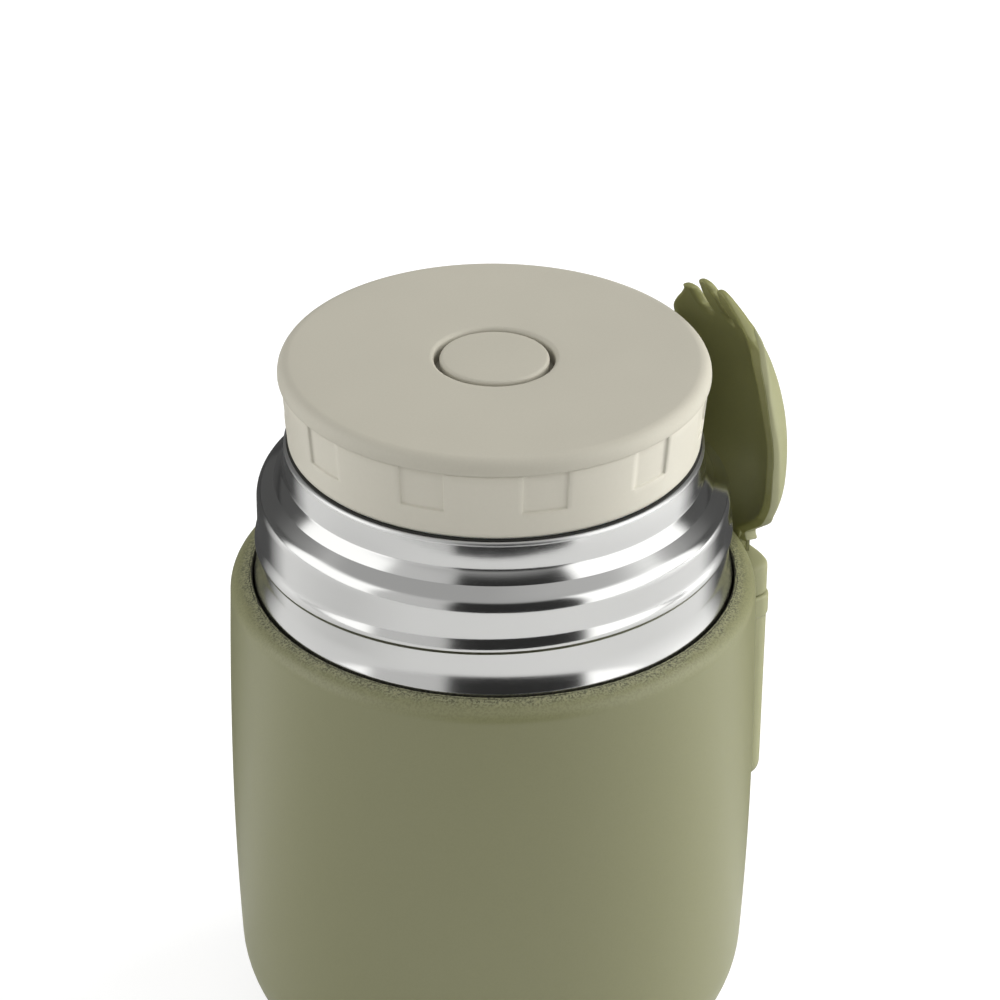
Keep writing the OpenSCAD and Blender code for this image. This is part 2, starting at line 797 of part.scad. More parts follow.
module core_solid() {
    bowl_layer(0, core_t) {
        palm_outline(0);
        tines();
    }
    wheel_layer(bowl_upper_r, core_t - bond, core_t + skin_t, bowl_z + bowl_top_l, bowl_z + bowl_w)
        tines();
    bar(neck_x1 - spork_neck_t, neck_x1 - skin_t, spork_neck_w, head_z, neck_top);
    bar(tongue_x0, tongue_x1, tongue_w, pocket_top - tongue_l, head_z + head_h / 2);
}

// Stiff core: bowl front, tines, neck and the tongue inside the pocket
module spork_core() {
    color(olive)
        core_solid();
}

// Soft skin on the bowl's back and neck, with the collar that rests on the pocket
module spork_skin() {
    shoulder = head_h * head_straight_share;
    half = pocket_w / 2 - slip;
    x1 = pocket_x - head_gap;
    color(pale_olive)
        difference() {
            union() {
                bowl_layer(core_t, core_t + skin_t)
                    palm_outline(skin_step);
                bar(neck_x1 - skin_t, neck_x1, spork_neck_w + 2 * skin_step, head_z,
                    neck_top - skin_t);
                intersection() {
                    round_block(x1, 2 * half, pocket_edge_r, head_z, head_z + head_h);
                    across(tongue_x0 - skin_t - skin_step, x1)
                        polygon([[-half, head_z], [half, head_z], [half, head_z + shoulder],
                                 [spork_neck_w / 2 + skin_step, head_z + head_h],
                                 [-spork_neck_w / 2 - skin_step, head_z + head_h],
                                 [-half, head_z + shoulder]]);
                }
            }
            core_solid();
        }
}

outer_shell();
neck_ring();
inner_liner();
reflector_foil();
base_cap();
vacuum_plug();
getter();
spork_pocket();
pocket_pad();
lid_top();
lid_ring();
stopper_cup();
insulation_puck();
mouth_gasket();
valve_sleeve();
button_cap();
valve_stem();
valve_seal();
stem_clip();
button_spring();
spork_core();
spork_skin();
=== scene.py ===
import math
from functools import partial
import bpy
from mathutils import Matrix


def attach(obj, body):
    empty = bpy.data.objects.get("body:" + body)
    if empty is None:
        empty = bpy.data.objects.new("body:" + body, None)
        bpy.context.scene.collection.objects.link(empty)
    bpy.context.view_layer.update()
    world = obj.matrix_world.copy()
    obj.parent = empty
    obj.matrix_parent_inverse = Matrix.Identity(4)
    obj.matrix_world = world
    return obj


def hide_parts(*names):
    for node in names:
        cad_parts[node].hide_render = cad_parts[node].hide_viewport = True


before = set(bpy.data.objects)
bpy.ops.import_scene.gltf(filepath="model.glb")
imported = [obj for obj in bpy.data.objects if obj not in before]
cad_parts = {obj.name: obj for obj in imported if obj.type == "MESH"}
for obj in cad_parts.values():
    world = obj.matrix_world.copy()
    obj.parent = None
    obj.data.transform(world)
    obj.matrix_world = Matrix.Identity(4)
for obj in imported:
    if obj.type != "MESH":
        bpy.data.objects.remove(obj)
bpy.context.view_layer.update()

from types import SimpleNamespace

import bmesh
import bpy
import numpy as np
from mathutils import Matrix, Vector, noise
from mathutils.geometry import delaunay_2d_cdt

# Insulated food jar. All shapes are worked out in millimetres, with the jar's axis on Z,
# its base at z = 0 and the spork's pocket on +X, and are turned to metres in makePiece.
mm = 0.001


# Small helpers

def srgb(code):  # hex colour to linear RGBA
    parts = [int(code[i:i + 2], 16) / 255 for i in (1, 3, 5)]
    return tuple(c / 12.92 if c <= 0.04045 else ((c + 0.055) / 1.055) ** 2.4 for c in parts) + (1,)


def addNode(tree, kind, settings=None, links=None):  # a node with its values and what feeds it
    node = tree.nodes.new("ShaderNode" + kind)
    for key, value in (settings or {}).items():
        if isinstance(key, str) and hasattr(node, key):
            setattr(node, key, value)
        else:
            node.inputs[key].default_value = value
    for key, source in (links or {}).items():  # a socket, or a node for its first output
        tree.links.new(getattr(source, "outputs", [source])[0], node.inputs[key])
    return node


def startMaterial(name):  # an empty material, what adds its nodes, and coordinates on the piece
    material = bpy.data.materials.new(name)
    material.use_nodes = True
    material.node_tree.nodes.clear()
    add = partial(addNode, material.node_tree)
    return material, add, add("TexCoord").outputs["Object"]


def smoothStep(a, b, x):
    t = min(max((x - a) / (b - a), 0), 1)
    return t * t * (3 - 2 * t)


def arcPoints(x, z, r, a, b, n=10):  # points of an arc, angles in degrees
    return [(x + r * math.cos(math.radians(a + (b - a) * i / n)),
             z + r * math.sin(math.radians(a + (b - a) * i / n))) for i in range(n + 1)]


def blendPoints(a, b, n):  # points between two, without the first
    return [(a[0] + (b[0] - a[0]) * i / n, a[1] + (b[1] - a[1]) * i / n) for i in range(1, n + 1)]


def upTo(a, b, n):  # points between two, without the last
    return [a] + blendPoints(a, b, n)[:-1]


def curveThrough(knots, steady=False):  # a smooth curve through (position, value) pairs
    x = np.array([k[0] for k in knots], float)
    y = np.array([k[1] for k in knots], float)
    h, n = np.diff(x), len(x)
    rise = np.diff(y) / h
    slope = np.zeros(n)
    if steady:  # never rises past its points
        for i in range(1, n - 1):
            if rise[i - 1] * rise[i] > 0:
                slope[i] = 2 * rise[i - 1] * rise[i] / (rise[i - 1] + rise[i])
        slope[0], slope[-1] = rise[0], rise[-1]
    else:  # as a bent batten
        a, b = np.zeros((n, n)), np.zeros(n)
        a[0, :2], b[0] = (2, 1), 3 * rise[0]
        a[-1, -2:], b[-1] = (1, 2), 3 * rise[-1]
        for i in range(1, n - 1):
            a[i, i - 1:i + 2] = 1 / h[i - 1], 2 / h[i - 1] + 2 / h[i], 1 / h[i]
            b[i] = 3 * (rise[i - 1] / h[i - 1] + rise[i] / h[i])
        slope = np.linalg.solve(a, b)

    def value(t):
        t = min(max(t, x[0]), x[-1])
        i = min(max(int(np.searchsorted(x, t)) - 1, 0), n - 2)
        u = (t - x[i]) / h[i]
        return float(y[i] * (1 + 2 * u) * (1 - u) ** 2 + slope[i] * h[i] * u * (1 - u) ** 2
                     + y[i + 1] * u * u * (3 - 2 * u) + slope[i + 1] * h[i] * u * u * (u - 1))
    return value


def makePiece(name, verts, faces, material, body, node=None, sharp=38):
    mesh = bpy.data.meshes.new(name)
    mesh.from_pydata([(x * mm, y * mm, z * mm) for x, y, z in verts], [], faces)
    work = bmesh.new()
    work.from_mesh(mesh)
    bmesh.ops.remove_doubles(work, verts=work.verts, dist=2e-6)
    bmesh.ops.dissolve_degenerate(work, edges=work.edges, dist=1e-6)
    bmesh.ops.recalc_face_normals(work, faces=work.faces)
    work.to_mesh(mesh)
    work.free()
    piece = bpy.data.objects.new(name, mesh)
    bpy.context.scene.collection.objects.link(piece)
    mesh.polygons.foreach_set("use_smooth", [True] * len(mesh.polygons))
    mesh.set_sharp_from_angle(angle=math.radians(sharp))
    mesh.materials.append(material)
    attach(piece, body)
    if node:
        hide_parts(node)


def lathe(profile, segments, shift=None):  # closed profile of (r, z) turned round Z
    count = len(profile)
    verts = []
    for s in range(segments):
        t = 2 * math.pi * s / segments
        for k, (r, z) in enumerate(profile):
            if shift:
                r, z = shift(r, z, t, k)
            verts.append((r * math.cos(t), r * math.sin(t), z))
    faces = []
    for s in range(segments):
        a, b = s * count, (s + 1) % segments * count
        for k in range(count):
            q = (k + 1) % count
            faces.append((a + k, b + k, b + q, a + q))
    return verts, faces


def loft(loops, capStart=True, capEnd=True):  # closed loops of equal length joined into a skin
    n = len(loops[0])
    verts = [p for loop in loops for p in loop]
    faces = []
    for i in range(len(loops) - 1):
        for k in range(n):
            q = (k + 1) % n
            faces.append((i * n + k, i * n + q, (i + 1) * n + q, (i + 1) * n + k))
    if capStart:
        faces.append(tuple(range(n))[::-1])
    if capEnd:
        faces.append(tuple((len(loops) - 1) * n + k for k in range(n)))
    return verts, faces


def addPart(verts, faces, part):  # joins a second mesh to the first
    more, extra = part
    faces += [tuple(i + len(verts) for i in f) for f in extra]
    verts += more


# Camera and light

viewpoint = {
    "lookAt": (1.14, 111.68),   # mm to the right of the axis, and above the base
    "turn": 33,                 # degrees from the jar's +Y to the line of sight
    "elevation": 29.965,        # degrees above the horizon
    "distance": 694.9,          # mm
    "roll": 0.39,               # degrees
    "lens": 137.42,             # mm on a 36 mm wide sensor
}


def makeCamera():
    turn, rise = math.radians(viewpoint["turn"]), math.radians(viewpoint["elevation"])
    right = Vector((math.cos(turn), -math.sin(turn), 0))
    forward = Vector((math.sin(turn) * math.cos(rise), math.cos(turn) * math.cos(rise),
                      -math.sin(rise)))
    target = right * viewpoint["lookAt"][0] + Vector((0, 0, viewpoint["lookAt"][1]))
    data = bpy.data.cameras.new("camera")
    data.lens = viewpoint["lens"]
    data.sensor_width = 36
    data.clip_start = 0.01
    data.clip_end = 50
    camera = bpy.data.objects.new("camera", data)
    bpy.context.scene.collection.objects.link(camera)
    spin = forward.to_track_quat("-Z", "Y").to_matrix().to_4x4()
    roll = Matrix.Rotation(math.radians(viewpoint["roll"]), 4, "Z")
    place = (target - forward * viewpoint["distance"]) * mm
    camera.matrix_world = Matrix.Translation(place) @ spin @ roll
    bpy.context.scene.camera = camera
    bpy.context.scene.view_settings.view_transform = "Standard"
    return right, Vector((math.sin(turn), math.cos(turn), 0))


studio = {
    # azimuth from the photographer in degrees, right positive; brightness 1 is white
    "ceiling": 0.52, "ceilingRight": 0.16,  # overhead, and what it gains towards the right
    "gainFrom": -20, "gainTo": 95,          # azimuths between which it gains that
    "ceilingFrom": 22, "ceilingTo": 48,     # heights over which the room turns into ceiling
    "behind": 0.11,         # unlit room behind the panels
    "lowFrom": 38, "lowTo": 56,             # heights over which the stretches below fade out
    "stretches": [
        {"from": -58, "to": 42, "soft": 6, "glow": 0.75},     # paler, left of the camera
        {"from": -20, "to": 44, "soft": 3, "glow": 0.035}],   # unlit, behind the camera
    "panelSoft": 4, "panelTopSoft": 9,      # softness of the panels' sides and tops
    "panels": [             # white panels on either side
        {"from": 42, "to": 109, "top": 50, "glow": 1.9},
        {"from": -109, "to": -56, "top": 42, "glow": 1.7}],
    "lamps": [              # large soft lamps, sizes and distance in metres, power in watts
        {"name": "edgeLampRight", "azimuth": 113, "width": 0.7, "height": 0.9, "distance": 1.1,
         "lift": 0.42, "power": 15.0},
        {"name": "edgeLampLeft", "azimuth": -116, "width": 0.6, "height": 0.9, "distance": 1.1,
         "lift": 0.42, "power": 5.0},
        {"name": "fillLamp", "azimuth": 4, "width": 1.1, "height": 0.9, "distance": 1.0,
         "lift": 0.75, "power": 2.4}],
    "tableFront": 0.36,     # metres from the jar to the table's edge at the photographer's side
    "tableBack": 3.0, "tableHalf": 3.0,
}


def makeWorld(right, back):
    world = bpy.data.worlds.new("studioRoom")
    bpy.context.scene.world = world
    world.use_nodes = True
    world.node_tree.nodes.clear()
    add = partial(addNode, world.node_tree)
    direction = add("TexCoord").outputs["Generated"]

    def along(axis):  # how far the direction points along an axis
        return add("VectorMath", {"operation": "DOT_PRODUCT", 1: tuple(axis)},
                   {0: direction}).outputs["Value"]

    azimuth = add("Math", {"operation": "ARCTAN2"}, {0: along(right), 1: along(-back)})
    height = add("Math", {"operation": "ARCSINE"}, {0: along((0, 0, 1))})

    def ramp(value, a, b, low=0.0, high=1.0):  # low before a and high after b, in degrees
        return add("MapRange", {"interpolation_type": "SMOOTHSTEP", "From Min": math.radians(a),
                                "From Max": math.radians(b), "To Min": low, "To Max": high},
                   {"Value": value})

    def times(a, b):
        return add("Math", {"operation": "MULTIPLY"}, {0: a, 1: b})

    def blendTo(base, goal, mask):  # base, going to a fixed brightness where the mask is 1
        lift = add("Math", {"operation": "SUBTRACT", 0: goal}, {1: base})
        return add("Math", {"operation": "MULTIPLY_ADD"}, {0: lift, 1: mask, 2: base})

    def between(part, soft):  # 1 for directions between a part's two azimuths
        a, b = part["from"], part["to"]
        return times(ramp(azimuth, a - soft, a + soft), ramp(azimuth, b - soft, b + soft, 1, 0))

    r = SimpleNamespace(**studio)
    light = ramp(azimuth, r.gainFrom, r.gainTo, r.ceiling, r.ceiling + r.ceilingRight)
    light = blendTo(light, r.behind, ramp(height, r.ceilingFrom, r.ceilingTo, 1, 0))
    low = ramp(height, r.lowFrom, r.lowTo, 1, 0)
    for part in r.stretches:
        light = blendTo(light, part["glow"], times(between(part, part["soft"]), low))
    for panel in r.panels:
        top = ramp(height, panel["top"] - r.panelTopSoft, panel["top"] + r.panelTopSoft, 1, 0)
        light = blendTo(light, panel["glow"], times(between(panel, r.panelSoft), top))
    seen = add("Background", {"Color": (1, 1, 1, 1), "Strength": 1.0})
    lit = add("Background", {"Color": (1, 1, 1, 1)}, {"Strength": light})
    mix = add("MixShader", {}, {0: add("LightPath").outputs["Is Camera Ray"], 1: lit, 2: seen})
    add("OutputWorld", {}, {"Surface": mix})


def makeLamps(right, back):
    for lamp in studio["lamps"]:
        turn = math.radians(lamp["azimuth"])
        place = (right * math.sin(turn) - back * math.cos(turn)) * lamp["distance"]
        place.z = lamp["lift"]
        data = bpy.data.lights.new(lamp["name"], "AREA")
        data.shape = "RECTANGLE"
        data.size, data.size_y = lamp["width"], lamp["height"]
        data.energy = lamp["power"]
        holder = bpy.data.objects.new(lamp["name"], data)
        bpy.context.scene.collection.objects.link(holder)
        aim = Vector((0, 0, 0.08)) - place
        spin = aim.to_track_quat("-Z", "Y").to_matrix().to_4x4()
        holder.matrix_world = Matrix.Translation(place) @ spin
        holder.visible_glossy = False  # the panels are what the steel mirrors


def makeFloor(right, back):
    # White painted table: matt, and shown as white where the shadow doesn't reach
    material, add, place = startMaterial("whitePaintedTable")
    grain = add("TexNoise", {"Scale": 900.0, "Detail": 3.0}, {"Vector": place})
    bump = add("Bump", {"Strength": 0.1, "Distance": 0.1 * mm}, {"Height": grain})
    paint = add("BsdfDiffuse", {"Color": (0.86, 0.86, 0.86, 1)}, {"Normal": bump})
    soft = add("BsdfDiffuse", {"Color": (0.42, 0.42, 0.42, 1)})
    glow = add("Emission", {"Color": (1, 1, 1, 1), "Strength": 0.7})
    shown = add("AddShader", {}, {0: soft, 1: glow})
    rays = add("LightPath").outputs
    straight = add("Math", {"operation": "MAXIMUM"},
                   {0: rays["Is Camera Ray"], 1: rays["Is Transmission Ray"]})
    # steel mirrors black cards that stand behind the jar in place of the table there
    card = add("BsdfDiffuse", {"Color": (0.07, 0.07, 0.07, 1)})
    outward = add("VectorMath", {"operation": "NORMALIZE"}, {0: place})
    rear = add("VectorMath", {"operation": "DOT_PRODUCT", 1: tuple(back)}, {0: outward})
    behind = add("MapRange", {"From Min": 0.34, "From Max": 0.62}, {"Value": rear.outputs["Value"]})
    mirrored = add("Math", {"operation": "MULTIPLY"}, {0: behind, 1: rays["Is Glossy Ray"]})
    table = add("MixShader", {}, {0: mirrored, 1: paint, 2: card})
    mix = add("MixShader", {}, {0: straight, 1: table, 2: shown})
    add("OutputMaterial", {}, {"Surface": mix})
    mesh = bpy.data.meshes.new("table")
    half, front, rear = studio["tableHalf"], -studio["tableFront"], studio["tableBack"]
    corners = [right * x + back * y for x, y in ((-half, front), (half, front), (half, rear),
                                                 (-half, rear))]
    mesh.from_pydata(corners, [], [(0, 1, 2, 3)])
    floor = bpy.data.objects.new("table", mesh)
    bpy.context.scene.collection.objects.link(floor)
    mesh.materials.append(material)


right, back = makeCamera()
makeWorld(right, back)
makeLamps(right, back)
makeFloor(right, back)
print("camera, light and table ready")


# Materials

def plastic(name, colour, roughness, cell, height, mottle, glow=0.0):
    # Moulded thermoplastic. The mould's spark-eroded skin gives a fine even grain: cell is the
    # grain's width and height its depth, both in mm, and mottle the colour's drift.
    material, add, place = startMaterial(name)
    grain = add("TexNoise", {"Scale": 1000 / cell, "Detail": 2.0}, {"Vector": place})
    drift = add("TexNoise", {"Scale": 1000 / 18, "Detail": 4.0, "Roughness": 0.6}, {"Vector": place})
    base = srgb(colour)
    darker, lighter = (tuple(min(c * k, 1) for c in base[:3]) + (1,) for k in (1 - mottle, 1 + mottle))
    half = add("Math", {"operation": "MULTIPLY", 1: 0.5}, {0: drift})
    both = add("Math", {"operation": "MULTIPLY_ADD", 1: 0.5}, {0: grain, 2: half})
    tint = add("MapRange", {"From Min": 0.35, "From Max": 0.65}, {"Value": both})
    colours = add("Mix", {"data_type": "RGBA", 6: darker, 7: lighter}, {0: tint})
    gloss = add("MapRange", {"From Min": 0.3, "From Max": 0.7, "To Min": roughness - 0.04,
                             "To Max": roughness + 0.05}, {"Value": drift})
    bump = add("Bump", {"Strength": 1.0, "Distance": height * mm}, {"Height": grain})
    shader = add("BsdfPrincipled", {"IOR": 1.49, "Subsurface Weight": glow, "Subsurface Scale": 0.0015,
                                    "Subsurface Radius": (1.0, 0.9, 0.7)},
                 {"Base Color": colours.outputs[2], "Roughness": gloss, "Normal": bump})
    add("OutputMaterial", {}, {"Surface": shader})
    return material


def powderCoat():
    # Polyester powder coat baked on steel: a satin olive skin with a fine sand grain of about
    # 0.4 mm that shows where light grazes it, such as on the shoulder; there the grain's light and
    # shade are also painted into the colour as dark and pale specks
    material, add, place = startMaterial("olivePolyesterPowderCoat")
    sand = add("TexNoise", {"Scale": 1000 / 0.42, "Detail": 3.0, "Roughness": 0.65}, {"Vector": place})
    pits = add("TexVoronoi", {"Scale": 1000 / 0.7}, {"Vector": place})
    wave = add("TexNoise", {"Scale": 1000 / 2.4, "Detail": 2.0}, {"Vector": place})
    high = add("SeparateXYZ", {}, {0: place}).outputs[2]
    level = add("VectorMath", {"operation": "MULTIPLY", 1: (1, 1, 0)}, {0: place})
    reach = add("VectorMath", {"operation": "LENGTH"}, {0: level}).outputs["Value"]
    # the sandy band ends in a ragged line a little outside the shoulder's inner edge
    ragged = add("Math", {"operation": "MULTIPLY_ADD", 1: 2.2 * mm}, {0: wave, 2: reach})
    rim = add("MapRange", {"From Min": 46.6 * mm, "From Max": 47.9 * mm, "To Min": 1.0, "To Max": 0.22},
              {"Value": ragged})
    upper = add("MapRange", {"From Min": 94.5 * mm, "From Max": 96.8 * mm, "To Min": 0.12,
                             "To Max": 1.0}, {"Value": high})
    top = add("Math", {"operation": "MULTIPLY"}, {0: rim, 1: upper})
    # painted light and shade: dark and pale specks of the grain, only on the shoulder's band
    grainLightAndShade = add("MapRange", {"From Min": 0.4, "From Max": 0.57}, {"Value": sand})
    colours = add("Mix", {"data_type": "RGBA", 6: srgb("#4c4c38"), 7: srgb("#8c8c6b")}, {0: grainLightAndShade})
    plain = add("Mix", {"data_type": "RGBA", 6: srgb("#777754")}, {0: top, 7: colours.outputs[2]})
    mound = add("Math", {"operation": "MULTIPLY_ADD", 1: 0.6}, {0: pits, 2: sand})
    deep = add("Math", {"operation": "MULTIPLY"}, {0: mound, 1: top})
    bump = add("Bump", {"Strength": 1.0, "Distance": 0.09 * mm}, {"Height": deep})
    peel = add("Bump", {"Strength": 1.0, "Distance": 0.006 * mm}, {"Height": wave, "Normal": bump})
    shader = add("BsdfPrincipled",
                 {"Roughness": 0.4, "IOR": 1.52, "Coat Weight": 0.12, "Coat Roughness": 0.35},
                 {"Base Color": plain.outputs[2], "Normal": peel})
    add("OutputMaterial", {}, {"Surface": shader})
    return material


def steel(name, colour, roughness, line, depth, wave=0.012, spin=0.0022):
    # Stainless steel, polished and then brushed while it turned: fine scratches run round it.
    # line is the scratch spacing in mm, coarser than the real 0.05 mm so that it shows, depth
    # the scratch depth and wave the height of the shallow ripples left by rolling, in mm.
    streak = 0.06  # what the scratches add to the roughness
    material, add, place = startMaterial(name)
    parts = add("SeparateXYZ", {}, {0: place}).outputs
    flat = add("CombineXYZ", {}, {0: parts[0], 1: parts[1]})
    reach = add("VectorMath", {"operation": "LENGTH"}, {0: flat}).outputs["Value"]
    turn = add("Math", {"operation": "ARCTAN2"}, {0: parts[1], 1: parts[0]})
    along = add("Math", {"operation": "MULTIPLY", 1: spin}, {0: turn})
    lane = add("CombineXYZ", {}, {0: reach, 1: parts[2], 2: along})
    scratch = add("TexNoise", {"Scale": 1000 / line, "Detail": 4.0, "Roughness": 0.7}, {"Vector": lane})
    cloud = add("TexNoise", {"Scale": 1000 / 9, "Detail": 3.0}, {"Vector": place})
    gloss = add("Math", {"operation": "MULTIPLY_ADD", 1: streak, 2: roughness - streak * 0.5},
                {0: scratch})
    both = add("Math", {"operation": "MULTIPLY_ADD", 1: 0.05}, {0: cloud, 2: gloss})
    ripple = add("TexNoise", {"Scale": 1000 / 7, "Detail": 1.0}, {"Vector": place})
    rolled = add("Bump", {"Strength": 1.0, "Distance": wave * mm}, {"Height": ripple})
    bump = add("Bump", {"Strength": 1.0, "Distance": depth * mm}, {"Height": scratch, "Normal": rolled})
    shader = add("BsdfPrincipled", {"Base Color": srgb(colour), "Metallic": 1.0},
                 {"Roughness": both, "Normal": bump})
    add("OutputMaterial", {}, {"Surface": shader})
    return material


def silicone(name, colour):
    # Cast silicone rubber: milky, a little light passes in, with a dull bloom on its skin
    material, add, place = startMaterial(name)
    bloom = add("TexNoise", {"Scale": 1000 / 1.2, "Detail": 4.0}, {"Vector": place})
    gloss = add("MapRange", {"From Min": 0.3, "From Max": 0.7, "To Min": 0.4, "To Max": 0.58},
                {"Value": bloom})
    bump = add("Bump", {"Strength": 1.0, "Distance": 0.006 * mm}, {"Height": bloom})
    shader = add("BsdfPrincipled", {"Base Color": srgb(colour), "IOR": 1.41,
                                    "Subsurface Weight": 0.25, "Subsurface Scale": 0.002},
                 {"Roughness": gloss, "Normal": bump})
    add("OutputMaterial", {}, {"Surface": shader})
    return material


def foil():
    # Aluminium foil wrapped by hand, tinted by the oven: crinkled, with sharp glints
    material, add, place = startMaterial("wrappedCopperTintedFoil")
    crinkle = add("TexVoronoi", {"Scale": 1000 / 5, "feature": "F1"}, {"Vector": place})
    fine = add("TexNoise", {"Scale": 1000 / 1.5, "Detail": 5.0}, {"Vector": place})
    height = add("Math", {"operation": "MULTIPLY_ADD", 1: 0.3}, {0: fine, 2: crinkle})
    bump = add("Bump", {"Distance": 0.25 * mm}, {"Height": height})
    shader = add("BsdfPrincipled", {"Base Color": srgb("#cf9a6c"), "Metallic": 1.0, "Roughness": 0.22},
                 {"Normal": bump})
    add("OutputMaterial", {}, {"Surface": shader})
    return material


def foam():
    # Poured polyurethane foam: a pale yellow skin full of small cells about 0.6 mm wide
    material, add, place = startMaterial("pouredPolyurethaneFoam")
    cells = add("TexVoronoi", {"Scale": 1000 / 0.6}, {"Vector": place})
    shade = add("Mix", {"data_type": "RGBA", 6: srgb("#cfc39c"), 7: srgb("#efe6c6")}, {0: cells})
    bump = add("Bump", {"Distance": 0.2 * mm}, {"Height": cells})
    shader = add("BsdfPrincipled", {"Roughness": 0.9, "IOR": 1.4},
                 {"Base Color": shade.outputs[2], "Normal": bump})
    add("OutputMaterial", {}, {"Surface": shader})
    return material


def sintered(name, dark, light, roughness, metallic=0.0):
    # Pressed or fused grains: speckled, with a rough broken surface of 0.3 mm grains
    material, add, place = startMaterial(name)
    grit = add("TexNoise", {"Scale": 1000 / 0.3, "Detail": 4.0}, {"Vector": place})
    mask = add("MapRange", {"From Min": 0.35, "From Max": 0.65}, {"Value": grit})
    shade = add("Mix", {"data_type": "RGBA", 6: srgb(dark), 7: srgb(light)}, {0: mask})
    bump = add("Bump", {"Distance": 0.05 * mm}, {"Height": grit})
    shader = add("BsdfPrincipled", {"Roughness": roughness, "Metallic": metallic},
                 {"Base Color": shade.outputs[2], "Normal": bump})
    add("OutputMaterial", {}, {"Surface": shader})
    return material


coat = powderCoat()
# Turned 304 stainless steel of the bare neck: bright, with fine scratches all the way round
neckSteel = steel("turnedStainlessSteel", "#cbcbc9", 0.12, 0.3, 0.003, 0.02)
# The same steel inside, brushed duller so that food lets go
linerSteel = steel("brushedStainlessLiner", "#cfcfcd", 0.3, 0.25, 0.004)
baseSteel = steel("satinStainlessDisc", "#c6c6c4", 0.34, 0.35, 0.006)
springSteel = steel("drawnSpringSteel", "#b9bcc0", 0.28, 0.4, 0.002, spin=1.0)
# Bare steel at the end of the coating, dark and speckled
rawEdge = sintered("darkBareSteelEdge", "#2c2b24", "#6d6c5c", 0.55, 0.6)
# Spark-eroded polypropylene: matt warm white, a fine grain that keeps it from glaring
# painted shade: this copy, for the top disc and the button, is a shade darker than the ring's copy
# below
creamTopShaded = plastic("creamPolypropyleneTopPaintedShade", "#b2aea0", 0.5, 0.45, 0.008, 0.02)
creamSide = plastic("creamPolypropyleneSatin", "#c0bcae", 0.42, 0.6, 0.004, 0.012)
whiteInner = plastic("naturalPolypropylene", "#dfdcd3", 0.38, 0.8, 0.003, 0.015, glow=0.15)
acetal = plastic("turnedAcetal", "#c7c4b8", 0.35, 0.5, 0.004, 0.02)
# Glass-filled nylon of the spork's core: satin olive with a little fleck from the fibres, painted
# darker than the skin as shade on the hollow and the core's edge
shadedOliveNylon = plastic("oliveNylonPaintedShade", "#7a7a4b", 0.4, 0.5, 0.005, 0.03)
# Soft elastomer moulded over it: same olive, duller, painted a shade paler as light on the lit back
litOliveElastomer = plastic("oliveElastomerPaintedLight", "#8b8b68", 0.48, 0.4, 0.006, 0.025)
olivePocket = plastic("oliveSatinPolypropylene", "#8e8e6b", 0.42, 0.6, 0.005, 0.02)
padRubber = plastic("dullNitrileRubber", "#3c3c2c", 0.7, 0.3, 0.02, 0.05)
clearSeal = silicone("milkySilicone", "#d6d5cc")
# Edge of the mouth's gasket, dull and nearly black: painted shade of the gap between the stopper's foot
# and the rim
gapShadeRing = plastic("gasketGapPaintedShade", "#1d1d1a", 0.6, 0.3, 0.01, 0.05)
sealGlass = sintered("fusedSolderGlass", "#1c2723", "#34433c", 0.18)
getterMetal = sintered("pressedZirconiumGetter", "#4d4c49", "#8d8b86", 0.75, 0.5)
print("materials ready")


# Coated steel body

bodyShape = {
    "widest": 49.0, "widestZ": 56.0, "upperCurve": 1100.0, "lowerCurve": 750.0,
    "baseRound": 20.0, "shoulderZ": 97.7, "shoulderRise": 0.8, "shoulderRound": 3.0,
    "coatEdge": 44.4, "wall": 0.6, "collar": 3.2, "flatRing": 4.1,
    "segments": 960,
    "edgeZ": 97.2, "edgeR": 46.6, "edgeInR": 46.4,  # where the coating's end may wander, mm
    "ragged": 0.28,     # how far the coating's end wanders, mm
    "crumb": 0.07,      # height of the crumbs along that end, mm
}


def barrelRadius(z):
    s = SimpleNamespace(**bodyShape)
    curve = s.upperCurve if z > s.widestZ else s.lowerCurve
    return s.widest - (z - s.widestZ) ** 2 / 2 / curve


